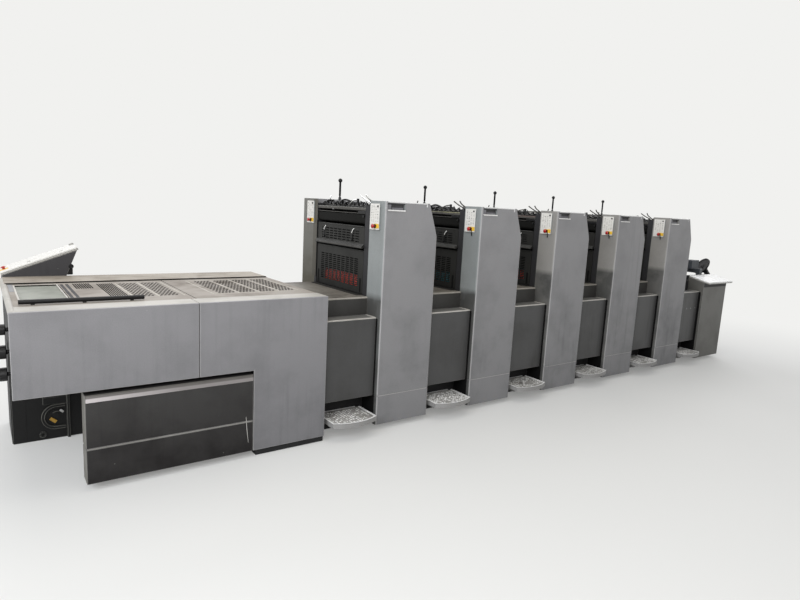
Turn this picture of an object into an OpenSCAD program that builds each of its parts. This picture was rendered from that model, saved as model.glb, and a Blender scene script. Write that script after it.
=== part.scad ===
// Five-unit sheet-fed offset printing press.
// X runs along the machine from the delivery (-X) to the feeder (+X), -Y is the operator side, +Z is up.
// The origin is the centre of the bounding box on the floor.

/* [Printing units] */
// Distance from one unit to the next
pitch = 787; // [760:1:860]
// Width of an operator-side tower cover at its foot
tower_w = 415; // [380:1:440]
// Width of a tower cover at its top
tower_top_w = 338; // [300:1:370]
// Height of the tower tops above the floor
tower_top = 1435; // [1400:1:1500]
// Height at which the slanting edge of a tower begins
tower_slant_z = 1211; // [1150:1:1260]
// Depth of an operator-side tower cover
tower_d = 165; // [140:1:172]
// Depth of a drive-side tower cover
drive_d = 202; // [170:1:240]
// Rounding of the vertical front edges of a tower
tower_r = 14; // [8:1:20]
// Height of the seam between tower cover and skirt
skirt_z = 222; // [190:1:260]
// Height of all cover bottoms above the floor
lift = 35; // [25:1:60]
// Width of the open joint between neighbouring covers
seam = 3; // [2:0.5:4]

/* [Side frames] */
// Thickness of the operator-side frame wall
near_wall_t = 53; // [45:1:60]
// Thickness of the drive-side frame wall
far_wall_t = 27; // [24:1:34]
// Clear width between the two frame walls
bay_w = 634; // [600:1:660]
// Height of the frame walls
wall_top = 1405; // [1380:1:1420]
// Height of the bay floor under the blanket cylinder
bay_z = 800; // [760:1:805]

/* [Guards] */
// Height of the lower edge of the upper guard
upper_guard_z = 1130; // [1126:1:1134]
// Distance of the guards' hinges behind the front of a unit
hinge_x = 6; // [5:0.5:12]
// Height of the upper guard's hinge
upper_hinge_z = 1267; // [1262:1:1268]
// Height of the lower edge of the lower guard
lower_guard_z = 841; // [840:1:850]
// Height of the lower guard's hinge
lower_hinge_z = 1114; // [1108:1:1115]
// Thickness of a guard panel
guard_t = 8; // [5:1:10]
// Gap between a guard and the wall beside it
guard_gap = 6; // [5:0.5:8]
// Radius of a guard's hinge tube
tube_r = 6; // [5:0.5:6.5]
// Radius of a guard's hinge pin
pin_r = 3; // [2.5:0.5:3.5]
// Margin beside a grille
grille_side = 58; // [50:1:70]
// Rounding of a guard's upper corners
guard_corner = 12; // [8:1:20]
// Slots in one row of a grille
slot_cols = 9; // [6:1:10]
// Rows of slots in the lower grille
lower_rows = 14; // [8:1:15]
// Rows of slots in the upper grille
upper_rows = 5; // [3:1:5]
// Length of a slot
slot_l = 44; // [36:1:48]
// Height of a slot
slot_h = 8; // [6:0.5:9]
// Thickness of the sheet in a grille
grille_t = 3; // [2:0.5:4]

/* [Cylinders] */
// Radius of a blanket cylinder
cyl_r = 75; // [70:1:76]
// Distance of a blanket cylinder's axis behind the front of its unit
cyl_x = 122; // [118:1:130]
// Height of a blanket cylinder's axis
cyl_z = 897; // [890:1:900]
// Radius of a cylinder journal
journal_r = 25; // [20:1:30]
// Radial clearance of every shaft in its bore
fit_gap = 0.05; // [0.02:0.01:0.1]

/* [Levers] */
// Radius of a lever's ball knob
knob_r = 15; // [12:1:18]
// Height of a knob's centre
knob_z = 1573; // [1540:1:1600]
// Distance of a lever behind the front of its unit
lever_x = 183; // [160:1:210]
// Radius of a lever's pin
lever_pin_r = 5; // [4:0.5:6]

/* [Platforms, gap panels and steps] */
// Height of the foot platform between two units
platform_z = 835; // [825:1:836]
// Rounding of a platform's front edge
platform_r = 10; // [6:1:12]
// Distance of a gap panel behind the tower fronts
gap_back = 42; // [30:1:60]
// Height of the top of a gap panel
gap_top = 723; // [700:1:740]
// Height of the bottom of a gap panel
gap_bottom = 220; // [200:1:240]
// Height of a step's tread
step_z = 121; // [110:1:130]
// How far a step stands out in front of the towers
step_out = 95; // [80:1:110]
// Thickness of a step's casting at its rim
step_t = 30; // [24:1:36]
// Distance between a step and the cover beside it
step_side = 29; // [20:1:36]

/* [Delivery] */
// Left end of the delivery's front panels
deliv_left = -1894; // [-1950:1:-1850]
// Right end of the delivery's front panels
deliv_right = -365; // [-380:1:-350]
// Seam between the two front panels
deliv_seam = -1096; // [-1110:1:-1080]
// Height of the delivery's front panels
deliv_top = 878; // [870:1:890]
// Height of the bottom of the upper panels
deliv_mid = 491; // [485:1:500]
// Thickness of the front panels
panel_t = 14; // [10:1:18]
// Left end of the kick panels
kick_left = -1620; // [-1640:1:-1600]
// Right end of the kick panels
kick_right = -808; // [-820:1:-806]
// Height of the top of the kick panels
kick_top = 471; // [460:1:480]
// Height of the joint between the two kick panels
kick_joint = 208; // [190:1:230]
// Depth of the kick panels
kick_d = 96; // [80:1:100]
// Depth of the delivery's deck
deck_d = 1155; // [1120:1:1180]
// Depth of the plain strip along the deck's front edge
strip_d = 142; // [120:1:160]
// Depth of the raised rail along the deck's far edge
rail_d = 271; // [240:1:290]
// Thickness of the deck covers
deck_t = 24; // [18:1:28]
// Inner face of the housing on the far side of the pile
pile_y = 785; // [760:1:800]
// Length of the bay for the pile of printed sheets
bay_l = 546; // [500:1:560]

/* [Control desks] */
// Length of the delivery desk along the machine
desk_l = 427; // [360:1:440]
// Slope of the delivery desk
desk_tilt = 20.5; // [10:0.5:30]
// Depth of the delivery desk
desk_d = 220; // [180:1:240]
// Slope of the feeder desk
feed_tilt = 13; // [8:0.5:20]
// Thickness of the desk slabs
slab_t = 22; // [16:1:30]

/* [Feeder] */
// Distance of the feeder cabinet behind the last tower
cab_gap = 354; // [340:1:372]
// Width of the feeder cabinet
cab_w = 458; // [420:1:500]
// Height of the feeder cabinet at its front
cab_top = 803; // [780:1:820]
// Length of the feeder frame beyond the last tower
feed_l = 888; // [850:1:950]
// Height of the feeder frame
feed_top = 865; // [850:1:880]
// Radius of the feeder's handwheel
wheel_r = 98; // [80:1:105]
// Length of the sloping feed board
board_l = 460; // [420:1:480]
// Height of the pile table's top in its low position
table_z = 110; // [90:1:200]
// Thickness of the pile table
table_t = 50; // [40:1:60]

/* [Hidden] */
$fn = 48;

units = 5;
e = 0.5;
rear_t = 12;
bay_y0 = tower_d + near_wall_t;
bay_y1 = bay_y0 + bay_w;
drive_y = bay_y1 + far_wall_t;
back_y = drive_y + drive_d;
guard_y0 = bay_y0 + guard_gap;
guard_y1 = bay_y1 - guard_gap;
guard_w = guard_y1 - guard_y0;
gap_w = pitch - tower_w;
last_x = (units - 1) * pitch + tower_w;
cab_x = last_x + cab_gap;
feed_end = last_x + feed_l;
knob_out = 40;
body_left = deliv_left - knob_out;
desk_y = deck_d;
desk_back = desk_y + desk_d;
origin_x = -(body_left + feed_end) / 2;
origin_y = -(desk_back - step_out) / 2;
deck_z = deliv_top - deck_t;
cover_top = deliv_top - 2;
sheet_t = 12;
bed_top = platform_z - sheet_t;
lever_y = bay_y1 + far_wall_t / 2;
lever_pivot_z = wall_top + 18;
ear_t = 5;
ear_r = 16;
red = "#a8201a";
light_grey = "#8d8c8f";
dark_grey = "#4b4b4b";
pale = "#b9b7b0";

// Moves machine coordinates to the part's origin
module place() {
    translate([origin_x, origin_y, 0])
        children();
}

// Box given by its two corners
module span(x0, x1, y0, y1, z0, z1) {
    translate([x0, y0, z0])
        cube([x1 - x0, y1 - y0, z1 - z0]);
}

// Shape drawn in the XZ plane and run along Y from y0 to y1
module along_y(y0, y1) {
    translate([0, y1, 0])
        rotate([90, 0, 0])
            linear_extrude(y1 - y0)
                children();
}

// Round bar along Y
module rod_y(x, z, r, y0, y1) {
    translate([x, y0, z])
        rotate([-90, 0, 0])
            cylinder(r = r, h = y1 - y0);
}

// Repeats its children for each printing unit
module each_unit() {
    for (i = [0 : units - 1])
        translate([i * pitch, 0, 0])
            children();
}

// Plan of a cover with rounded corners on its outer side
module cover_plan(w, d, r) {
    translate([0, r])
        square([w, d - r]);
    translate([r, 0])
        square([w - 2 * r, r + e]);
    translate([r, r])
        circle(r);
    translate([w - r, r])
        circle(r);
}

// Outline of a tower with its slanting edge, between two heights
module tower_outline(z0, z1) {
    intersection() {
        polygon([[0, 0], [tower_w, 0], [tower_w, tower_slant_z], [tower_top_w, tower_top],
            [0, tower_top]]);
        translate([-1, z0])
            square([tower_w + 2, z1 - z0]);
    }
}

// One piece of an operator-side tower cover
module tower_piece(z0, z1) {
    intersection() {
        along_y(0, tower_d)
            tower_outline(z0, z1);
        translate([0, 0, z0 - 1])
            linear_extrude(z1 - z0 + 2)
                cover_plan(tower_w, tower_d, tower_r);
    }
}

// Recessed grip near the top of a tower
grip_x0 = 17;
grip_x1 = 147;
grip_z1 = tower_top - 10;
grip_z0 = grip_z1 - 42;

module tower_cover() {
    difference() {
        tower_piece(skirt_z + seam, tower_top);
        span(grip_x0, grip_x1, -1, 24, grip_z0, grip_z1);
    }
    span(grip_x0 - 3, grip_x1 + 3, -4, 3, grip_z0 - 6, grip_z0);
}

module tower_covers() {
    color(light_grey)
        place()
            each_unit() {
                tower_cover();
                tower_piece(lift, skirt_z);
            }
}

// Drive-side towers mirror the operator-side ones
module drive_covers() {
    color(light_grey)
        place()
            each_unit() {
                translate([0, back_y, 0])
                    mirror([0, 1, 0])
                        intersection() {
                            along_y(0, drive_d)
                                tower_outline(skirt_z + seam, tower_top);
                            translate([0, 0, lift])
                                linear_extrude(tower_top)
                                    cover_plan(tower_w, drive_d, tower_r);
                        }
                translate([0, back_y, 0])
                    mirror([0, 1, 0])
                        translate([0, 0, lift])
                            linear_extrude(skirt_z - lift)
                                cover_plan(tower_w, drive_d, tower_r);
            }
}

// Closed lower housings with the lower cylinders and drive inside
module press_beds() {
    color("#2a2a2b")
        place()
            difference() {
                span(deliv_right, last_x, tower_d, drive_y, 0, bed_top);
                each_unit()
                    span(rear_t, tower_w - rear_t, bay_y0, bay_y1, bay_z, bed_top + 1);
            }
}

// Frame wall outline in the XZ plane
module wall_outline() {
    polygon([[0, bed_top], [tower_w - 4, bed_top], [tower_w - 4, tower_slant_z - 4],
        [tower_top_w - 4, wall_top], [0, wall_top]]);
}

module wall_bores() {
    circle_at(cyl_x, cyl_z, journal_r + fit_gap);
    circle_at(hinge_x, upper_hinge_z, pin_r + fit_gap);
    circle_at(hinge_x, lower_hinge_z, pin_r + fit_gap);
}

module circle_at(x, z, r) {
    translate([x, z])
        circle(r);
}

module frame_wall(y0, y1) {
    along_y(y0, y1)
        difference() {
            wall_outline();
            wall_bores();
        }
}

// Ears that carry a lever on the drive-side wall
module lever_ears() {
    for (y = [bay_y1, drive_y - ear_t])
        difference() {
            union() {
                span(lever_x - ear_r, lever_x + ear_r, y, y + ear_t, wall_top - e, lever_pivot_z);
                rod_y(lever_x, lever_pivot_z, ear_r, y, y + ear_t);
            }
            rod_y(lever_x, lever_pivot_z, lever_pin_r + fit_gap, y - 1, y + ear_t + 1);
        }
}

module side_frames() {
    color("#3d3f40")
        place()
            each_unit() {
                frame_wall(tower_d, bay_y0);
                union() {
                    frame_wall(bay_y1, drive_y);
                    lever_ears();
                }
            }
}

// Covers that close the feeder side of each unit
module rear_covers() {
    color(dark_grey)
        place()
            each_unit() {
                along_y(bay_y0, bay_y1)
                    polygon([[tower_w - rear_t, bed_top], [tower_w - 4, bed_top],
                        [tower_w - 4, tower_slant_z - 4], [tower_top_w - 4, wall_top - 60],
                        [tower_top_w - rear_t, wall_top - 60],
                        [tower_w - rear_t, tower_slant_z - 5]]);
            }
}

// Curved sheet hood in front of the upper rollers, rounded below and at its lower corners
hood_x = 4;
hood_z0 = upper_hinge_z + 14;
hood_z1 = hood_z0 + 64;
hood_w = 120;
hood_r = 23;
hood_t = 5;

module hood_profile(t) {
    r = hood_r - t;
    translate([hood_x + hood_r, hood_z0 + t])
        square([hood_w - hood_r + t, hood_z1 - hood_z0 - 2 * t]);
    translate([hood_x + t, hood_z0 + hood_r])
        square([r + e, hood_z1 - hood_z0 - hood_r - t]);
    circle_at(hood_x + hood_r, hood_z0 + hood_r, r);
}

module hood_front() {
    translate([bay_y0, hood_z0 + hood_r])
        square([bay_w, hood_z1 - hood_z0]);
    translate([bay_y0 + hood_r, hood_z0 - 1])
        square([bay_w - 2 * hood_r, hood_r + 2]);
    for (y = [bay_y0 + hood_r, bay_y1 - hood_r])
        circle_at(y, hood_z0 + hood_r, hood_r);
}

module roller_hoods() {
    color("#1f1f20")
        place()
            each_unit()
                intersection() {
                    along_y(bay_y0, bay_y1)
                        difference() {
                            hood_profile(0);
                            hood_profile(hood_t);
                        }
                    rotate([90, 0, 90])
                        linear_extrude(hood_x + hood_w + 1)
                            hood_front();
                }
}

// Ink fountain: cross bar, blade trough with its cheeks, and the row of ink keys
key_n = 12;
key_r = 9;
key_h = 34;
bar_z0 = wall_top - 34;
bar_z1 = bar_z0 + 16;
bar_w = 28;
cheek_t = 12;
trough_w = 96;

module ink_fountains() {
    color("#8b8d8e")
        place()
            each_unit()
                union() {
                    span(2, 2 + bar_w, bay_y0, bay_y1, bar_z0, bar_z1);
                    along_y(bay_y0, bay_y1)
                        polygon([[bar_w, bar_z0 + 2], [bar_w + trough_w - 4, bar_z0 - 4],
                            [bar_w + trough_w + 2, bar_z0 + 4], [bar_w + 8, bar_z0 + 14]]);
                    for (k = [0 : key_n - 1])
                        translate([bar_w + 20, bay_y0 + (k + 0.5) * bay_w / key_n, bar_z0 + 7])
                            rotate([0, 14, 0]) {
                                cylinder(r = key_r, h = key_h);
                                translate([0, 0, key_h / 2])
                                    cylinder(r = key_r + 2, h = key_h / 4);
                            }
                    for (y = [bay_y0, bay_y1 - cheek_t])
                        along_y(y, y + cheek_t)
                            polygon([[60, bar_z0], [130, bar_z0 - 4], [150, wall_top + 7],
                                [110, wall_top + 27], [70, wall_top + 15]]);
                }
}

// Plate cylinder and inking rollers of a unit, as [x, z, radius]
rollers = [[196, 1042, 75], [104, 1148, 30], [174, 1160, 34], [134, 1222, 30], [206, 1230, 36],
    [244, 1302, 34], [170, 1362, 30], [232, 1372, 30], [292, 1350, 28]];

module inking_rollers() {
    color("#252527")
        place()
            each_unit()
                for (r = rollers)
                    union() {
                        rod_y(r[0], r[1], r[2], bay_y0 + 12, bay_y1 - 12);
                        rod_y(r[0], r[1], 11, bay_y0, bay_y1);
                    }
}

// Places a gap between two bodies: its left end, width
gaps = concat([[deliv_right, -deliv_right]],
    [for (i = [0 : units - 1]) [i * pitch + tower_w, i < units - 1 ? gap_w : cab_gap]]);

// Folded sheet: foot platform with a rounded front edge and the riser below it
riser_y = tower_d - 15;

module platform(x, w) {
    translate([x + 1, 0, 0])
        rotate([90, 0, 90])
            linear_extrude(w - 2)
                difference() {
                    union() {
                        translate([riser_y, gap_top - 6])
                            square([sheet_t, platform_z - platform_r - gap_top + 6]);
                        translate([riser_y + platform_r, platform_z - sheet_t])
                            square([drive_y - riser_y - platform_r, sheet_t]);
                        circle_at(riser_y + platform_r, platform_z - platform_r, platform_r);
                    }
                    translate([riser_y + sheet_t, platform_z - sheet_t - 30])
                        square([40, 30]);
                }
}

module platforms() {
    color(pale)
        place()
            for (g = [for (i = [0 : units - 1]) gaps[i]])
                platform(g[0], g[1]);
}

// Box-shaped panel that closes the foot of a gap
module gap_panels() {
    color(dark_grey)
        place()
            for (g = gaps)
                difference() {
                    span(g[0] + 2, g[0] + g[1] - 2, gap_back, tower_d, gap_bottom, gap_top);
                    span(g[0] + 2 + sheet_t, g[0] + g[1] - 2 - sheet_t, gap_back + sheet_t, tower_d + 1,
                        gap_bottom - 1, gap_top - sheet_t);
                    span(g[0], g[0] + g[1], riser_y, tower_d + 1, gap_top - 6, gap_top + 1);
                }
}

// Cast foot step with a bowed front rim and a ribbed tread
module step_plan(w, inset) {
    bow = 42;
    rad = (w * w / 4 + bow * bow) / (2 * bow);
    intersection() {
        translate([inset, inset - step_out])
            square([w - 2 * inset, step_out + tower_d - 18 - inset]);
        translate([w / 2, rad - step_out])
            circle(rad - inset, $fn = 160);
    }
}

module foot_step(x, w) {
    translate([x, 0, 0]) {
        difference() {
            translate([0, 0, step_z - step_t])
                linear_extrude(step_t)
                    step_plan(w, 0);
            translate([0, 0, step_z - 3])
                linear_extrude(4)
                    step_plan(w, 12);
            translate([0, 0, step_z - step_t - 1])
                linear_extrude(step_t - 9)
                    step_plan(w, 8);
        }
        for (k = [1 : 5])
            span(k * w / 6 - 4, k * w / 6 + 4, -step_out + 34, tower_d - 20,
                step_z - step_t + 6, step_z - 8);
        for (k = [w / 7, 6 * w / 7 - 30])
            span(k, k + 30, 20, tower_d, step_z - step_t - 30, step_z - 8);
        span(w / 12, 11 * w / 12, tower_d - 10, tower_d, step_z - step_t - 40, step_z - 2);
    }
}

module foot_steps() {
    color("#b4b2ac")
        place()
            for (g = gaps)
                foot_step(g[0] + step_side, g[1] - 2 * step_side);
}

// Keypads on the inner edge of the towers, and their stop buttons
pad_t = 9;
pad_w = 103;
pad_z1 = tower_top - 17;
pad_z0 = pad_z1 - 158;
near_pad_y = [tower_d - 15 - pad_w, tower_d - 15];
far_pad_y = [drive_y + 19, drive_y + 19 + pad_w];
stop_in = 65;
stop_r = 14;

module keypads() {
    color("#dcdad3")
        place()
            each_unit()
                for (y = [near_pad_y, far_pad_y])
                    span(-pad_t, 0, y[0], y[1], pad_z0, pad_z1);
}

// Mushroom button on its neck, standing on a surface along its local +Z
module mushroom(r, neck) {
    cylinder(r = r * 0.5, h = neck);
    translate([0, 0, neck - 2])
        rotate_extrude()
            intersection() {
                translate([0, -20])
                    square([r, 34]);
                translate([0, -r * 0.9])
                    circle(r * 1.35);
                square([r, 14]);
            }
}

module stop_buttons() {
    color(red)
        place() {
            each_unit()
                for (y = [near_pad_y[1] - stop_in, far_pad_y[1] - stop_in])
                    translate([-pad_t, y, pad_z0 + 22])
                        rotate([0, -90, 0])
                            mushroom(stop_r, 26);
            desk_frame()
                translate([-desk_l + 26, 60, slab_t])
                    mushroom(15, 14);
        }
}

// Delivery: far housing, closed body beside the pile bay, and the bridges over the bay
module delivery_frame() {
    color("#2b2b2c")
        place()
            union() {
                span(deliv_left + 14, deliv_right, pile_y, deck_d, 0, deck_z);
                span(bay_x1, deliv_right, kick_d + 4, pile_y + e, 0, bay_top + e);
                span(kick_left + 20, deliv_right, kick_d + 4, pile_y + e, bay_top, deck_z);
                span(deliv_right - 420, deliv_right, panel_t, kick_d + 5, 0, deck_z);
                span(deliv_left + 9, deliv_right, panel_t, strip_d - 2, deliv_mid + 12, deck_z);
                span(deliv_left + 9, deliv_left + 50, strip_d - 3, pile_y + e, bay_top, deck_z);
            }
}

// Two large front panels, the right one reaching down to the floor
module delivery_panels() {
    color(light_grey)
        place() {
            span(deliv_left, deliv_seam - seam / 2, 0, panel_t, deliv_mid, deliv_top);
            union() {
                span(deliv_seam + seam / 2, deliv_right, 0, panel_t, deliv_mid, deliv_top);
                span(kick_right + seam, deliv_right, 0, panel_t, lift, deliv_mid + e);
            }
        }
}

// Two low boxes in front of the chain run, with a pale rail along the top
module kick_panels() {
    color(dark_grey)
        place() {
            span(kick_left, kick_right, 0, kick_d + 4, kick_joint + 4, kick_top);
            span(kick_left, kick_right, 0, kick_d + 4, lift, kick_joint - 2);
        }
}

// Plate beside the pile with the raised U-shaped chain guide, a small ring and a rail
track_x = kick_left - 49;
track_z = 131;
track_r = 71;
track_rim = 13;
plate_y = pile_y - 14;
plate_x1 = kick_left + 20;
bay_top = 640;
bay_x1 = deliv_left + 18 + bay_l;

module track_shape(r) {
    intersection() {
        union() {
            circle_at(track_x, track_z, r);
            translate([track_x, track_z - r])
                square([r, 2 * r]);
        }
        translate([track_x - r - 1, track_z - r - 1])
            square([kick_left + 5 - track_x + r, 2 * r + 2]);
    }
}

module pile_side_plate() {
    color("#1c1d1e")
        place()
            union() {
                span(deliv_left + 18, bay_x1, plate_y, pile_y, 0, bay_top);
                along_y(plate_y - track_rim, plate_y + e)
                    difference() {
                        track_shape(track_r);
                        translate([1, 0])
                            track_shape(track_r - track_rim);
                    }
                along_y(plate_y - track_rim, plate_y + e)
                    difference() {
                        circle_at(track_x - track_r + 4, 34, 16);
                        circle_at(track_x - track_r + 4, 34, 10);
                    }
                span(track_x - 62, plate_x1, plate_y - track_rim, plate_y + e, track_z + track_r + 6,
                    track_z + track_r + 46);
                span(kick_left + 4, plate_x1, plate_y - track_rim - 6, plate_y + e, 0, bay_top);
            }
}

// Perforated field of a deck cover, every second row moved by half a hole pitch
module perforated_field(x0) {
    px = field_w / (field_nx + 0.5);
    py = (field_y[1] - field_y[0]) / field_ny;
    for (j = [0 : field_ny - 1])
        for (i = [0 : field_nx - 1])
            translate([x0 + (i + (j % 2) / 2 + 0.15) * px, field_y[0] + (j + 0.15) * py])
                square([px * 0.65, py * 0.65]);
}

// Row of long slots along Y
module long_slots(x0, n, step, y0, y1) {
    for (i = [0 : n - 1])
        translate([x0 + i * step, y0])
            square([step * 0.55, y1 - y0]);
}

// The two covers meet at cover_gap. The left one holds the pane, two grooves, two sets of long
// slots and two perforated fields, the right one four perforated fields
cover_y0 = strip_d;
cover_y1 = deck_d - rail_d - seam;
cover_gap = deliv_seam + 30;
glass_x = [deliv_left + 62, deliv_left + 267];
glass_y = [cover_y0 + 143, cover_y1 - 50];
field_y = [cover_y0 + 150, cover_y1 - 84];
field_w = 108;
field_step = 122;
field_nx = 5;
field_ny = 20;
field_x = deliv_right - 538;

module deck_covers() {
    color("#a5a29a")
        place()
            translate([0, 0, deck_z]) {
                linear_extrude(deck_t - 2)
                    difference() {
                        translate([deliv_left + 14, cover_y0])
                            square([cover_gap - seam - deliv_left - 14, cover_y1 - cover_y0]);
                        translate([glass_x[0], glass_y[0]])
                            square([glass_x[1] - glass_x[0], glass_y[1] - glass_y[0]]);
                        long_slots(glass_x[1] + 6, 2, 26, glass_y[0], glass_y[1]);
                        long_slots(glass_x[1] + 68, 8, 11, field_y[1] - 155, field_y[1] + 45);
                        long_slots(glass_x[1] + 186, 8, 11, field_y[0] + 26, field_y[1] + 12);
                        for (k = [1, 2])
                            perforated_field(cover_gap - 26 - k * field_step);
                    }
                linear_extrude(deck_t - 2)
                    difference() {
                        translate([cover_gap, cover_y0])
                            square([deliv_right - cover_gap, cover_y1 - cover_y0]);
                        for (k = [0 : 3])
                            perforated_field(field_x + k * field_step);
                    }
            }
}

module sight_glass() {
    color("#9fb0a8")
        place()
            span(glass_x[0], glass_x[1], glass_y[0], glass_y[1], deck_z, deck_z + deck_t - 8);
}

// Pale strips along both long edges of the deck
module deck_rails() {
    color("#b5b2a8")
        place() {
            for (x = [[deliv_left + 9, deliv_seam - seam / 2], [deliv_seam + seam / 2, deliv_right]])
                span(x[0], x[1], panel_t, strip_d - 2, deck_z, deliv_top);
            along_y(deck_d - rail_d, deck_d)
                polygon([[deliv_left + 14, deck_z], [deliv_right, deck_z], [deliv_right, deliv_top],
                    [deliv_right - 8, deliv_top + 6], [deliv_left + 20, deliv_top + 6],
                    [deliv_left + 14, deliv_top]]);
        }
}

// Black bar along the front of the deck
bar_r = 11;

module edge_bar() {
    color("#1a1a1a")
        place()
            union() {
                translate([deliv_left + 46, strip_d + 46, cover_top + bar_r + 4])
                    rotate([0, 90, 0])
                        cylinder(r = bar_r, h = 533);
                for (x = [-1800, -1590, -1380])
                    span(x, x + 16, strip_d + 40, strip_d + 52, cover_top, cover_top + bar_r);
            }
}

// Frame of the delivery desk: its upper right edge, sloping down towards -X
desk_x0 = deliv_left + 14;
desk_z0 = deliv_top + 14.5;
seat_gap = 0.35;

module desk_frame() {
    translate([desk_x0 + desk_l * cos(desk_tilt), desk_y, desk_z0 + desk_l * sin(desk_tilt)])
        rotate([0, -desk_tilt, 0])
            children();
}

// Frame of the feeder desk: its front left edge, sloping up towards +Y
slab_over = 48;

module feed_frame() {
    translate([cab_x, -slab_over, cab_top])
        rotate([feed_tilt, 0, 0])
            children();
}

// Wedge-shaped body under the delivery desk's slab, hung on the far side of the deck
desk_x1 = desk_x0 + desk_l * cos(desk_tilt) - 8;
desk_foot = desk_x0 + 331;

module desk_bodies() {
    color("#3b3b3d")
        place()
            along_y(deck_d, desk_back - 6)
                polygon([[desk_x0 + 4, deck_z - 60], [desk_foot, deck_z - 60], [desk_foot, deliv_top + 6],
                    [desk_x1, desk_z0 - seat_gap + (desk_x1 - desk_x0) * tan(desk_tilt)],
                    [desk_x0 + 4, desk_z0 - seat_gap + 4 * tan(desk_tilt)]]);
}

module desk_slabs() {
    color("#e2e1dc")
        place() {
            desk_frame()
                translate([-desk_l, 0, 0])
                    cube([desk_l, desk_d, slab_t]);
            feed_frame()
                cube([cab_w + 20, (slab_over + tower_d) / cos(feed_tilt) - 1, slab_t]);
        }
}

// Black hand knobs on the end of the delivery
module end_knobs() {
    color("#161616")
        place()
            for (z = [590, 690, 790])
                translate([deliv_left + 9, 90, z])
                    rotate([0, -90, 0]) {
                        cylinder(r = 10, h = 20);
                        translate([0, 0, 19])
                            cylinder(r = z == 790 ? 24 : 30, h = knob_out + 9 - 19);
                    }
}

// Handwheel: its centre, and the turn that brings its axis from +Z to its tilted place
wheel_pos = [feed_end - 71, tower_d + 115, feed_top + 78];
shaft_r = 12;
shaft_l = 60;

module wheel_frame() {
    translate(wheel_pos)
        rotate([0, 60, 150])
            children();
}

// Bracket on the near wall that carries the handwheel's shaft
module wheel_bracket() {
    difference() {
        union() {
            translate([wheel_pos[0] + 16, 0, 0])
                rotate([90, 0, 90])
                    linear_extrude(30)
                        polygon([[tower_d + 8, feed_top - 40], [bay_y0 - 3, feed_top - 40],
                            [wheel_pos[1] + 4, wheel_pos[2] - 44], [wheel_pos[1] - 4, wheel_pos[2] - 20],
                            [wheel_pos[1] - 34, wheel_pos[2] - 16]]);
            wheel_frame()
                translate([0, 0, 4 - shaft_l])
                    cylinder(r = 2 * shaft_r, h = 32);
        }
        wheel_frame()
            translate([0, 0, -2 * shaft_l])
                cylinder(r = shaft_r + fit_gap, h = 2 * shaft_l);
    }
}

// Feeder side frames with their cross members
head_x = feed_end - 291;
pile_x = last_x + 320;

module feeder_frame() {
    color("#5d5e60")
        place()
            union() {
                for (y = [[tower_d, bay_y0], [bay_y1, drive_y]])
                    along_y(y[0], y[1])
                        polygon([[last_x, 0], [feed_end, 0], [feed_end, feed_top - 30],
                            [feed_end - 30, feed_top], [cab_x, feed_top],
                            [cab_x, bed_top], [last_x, bed_top]]);
                span(last_x, pile_x - 20, bay_y0 - e, bay_y1 + e, 0, bed_top - 63);
                span(feed_end - 60, feed_end, bay_y0 - e, bay_y1 + e, 0, 40);
                wheel_bracket();
            }
}

module feeder_cabinet() {
    color("#555555")
        place()
            rotate([90, 0, 90])
                translate([0, 0, cab_x])
                    linear_extrude(cab_w)
                        polygon([[0, lift], [tower_d, lift],
                            [tower_d, cab_top - seat_gap + (tower_d + slab_over) * tan(feed_tilt)],
                            [0, cab_top - seat_gap + slab_over * tan(feed_tilt)]]);
}

// Suction head over the pile, on its beam from wall to wall, with its control box
beam_z0 = feed_top + 20;
beam_z1 = feed_top + 60;

module feeder_head() {
    color("#46484a")
        place()
            union() {
                span(head_x - 22, head_x + 22, tower_d + 8, drive_y - 4, beam_z0, beam_z1);
                for (y = [[tower_d + 8, bay_y0 - 8], [bay_y1 + 3, drive_y - 4]])
                    span(head_x - 25, head_x + 25, y[0], y[1], feed_top, beam_z1 + 5);
                span(head_x - 70, head_x + 70, bay_y0 + 22, bay_y0 + 112, beam_z1 - e, beam_z1 + 90);
                along_y(bay_y0 + 210, bay_y1 - 210)
                    polygon([[head_x - 60, beam_z0 - 30], [head_x + 50, beam_z0 - 30],
                        [head_x + 50, beam_z1 + 20],
                        [head_x + 10, beam_z1 + 50], [head_x - 60, beam_z1 + 30]]);
                for (k = [0 : 3])
                    translate([head_x - 40, bay_y0 + 230 + k * (bay_w - 460) / 3, beam_z0 - 80])
                        cylinder(r = 9, h = 60);
            }
}

// Sloping board that takes the sheets from the pile to the first cylinder
board_x = last_x + 10;

module feed_board() {
    color("#9a9c9c")
        place()
            along_y(bay_y0, bay_y1)
                polygon([[board_x, bed_top - 34], [board_x + board_l, feed_top - 44],
                    [board_x + board_l, feed_top - 30], [board_x, bed_top - 20]]);
}

module pile_table() {
    color("#6a6c6e")
        place()
            span(pile_x, feed_end - 70, bay_y0, bay_y1, table_z - table_t, table_z);
}

// Handwheel with its hub and shaft
module feeder_handwheel() {
    color("#141415")
        place()
            wheel_frame()
                union() {
                    translate([0, 0, -7])
                        rotate_extrude()
                            difference() {
                                square([wheel_r, 14]);
                                translate([30, 9])
                                    square([wheel_r - 44, 6]);
                            }
                    translate([0, 0, -shaft_l])
                        cylinder(r = shaft_r, h = shaft_l + 12);
                }
}

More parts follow.
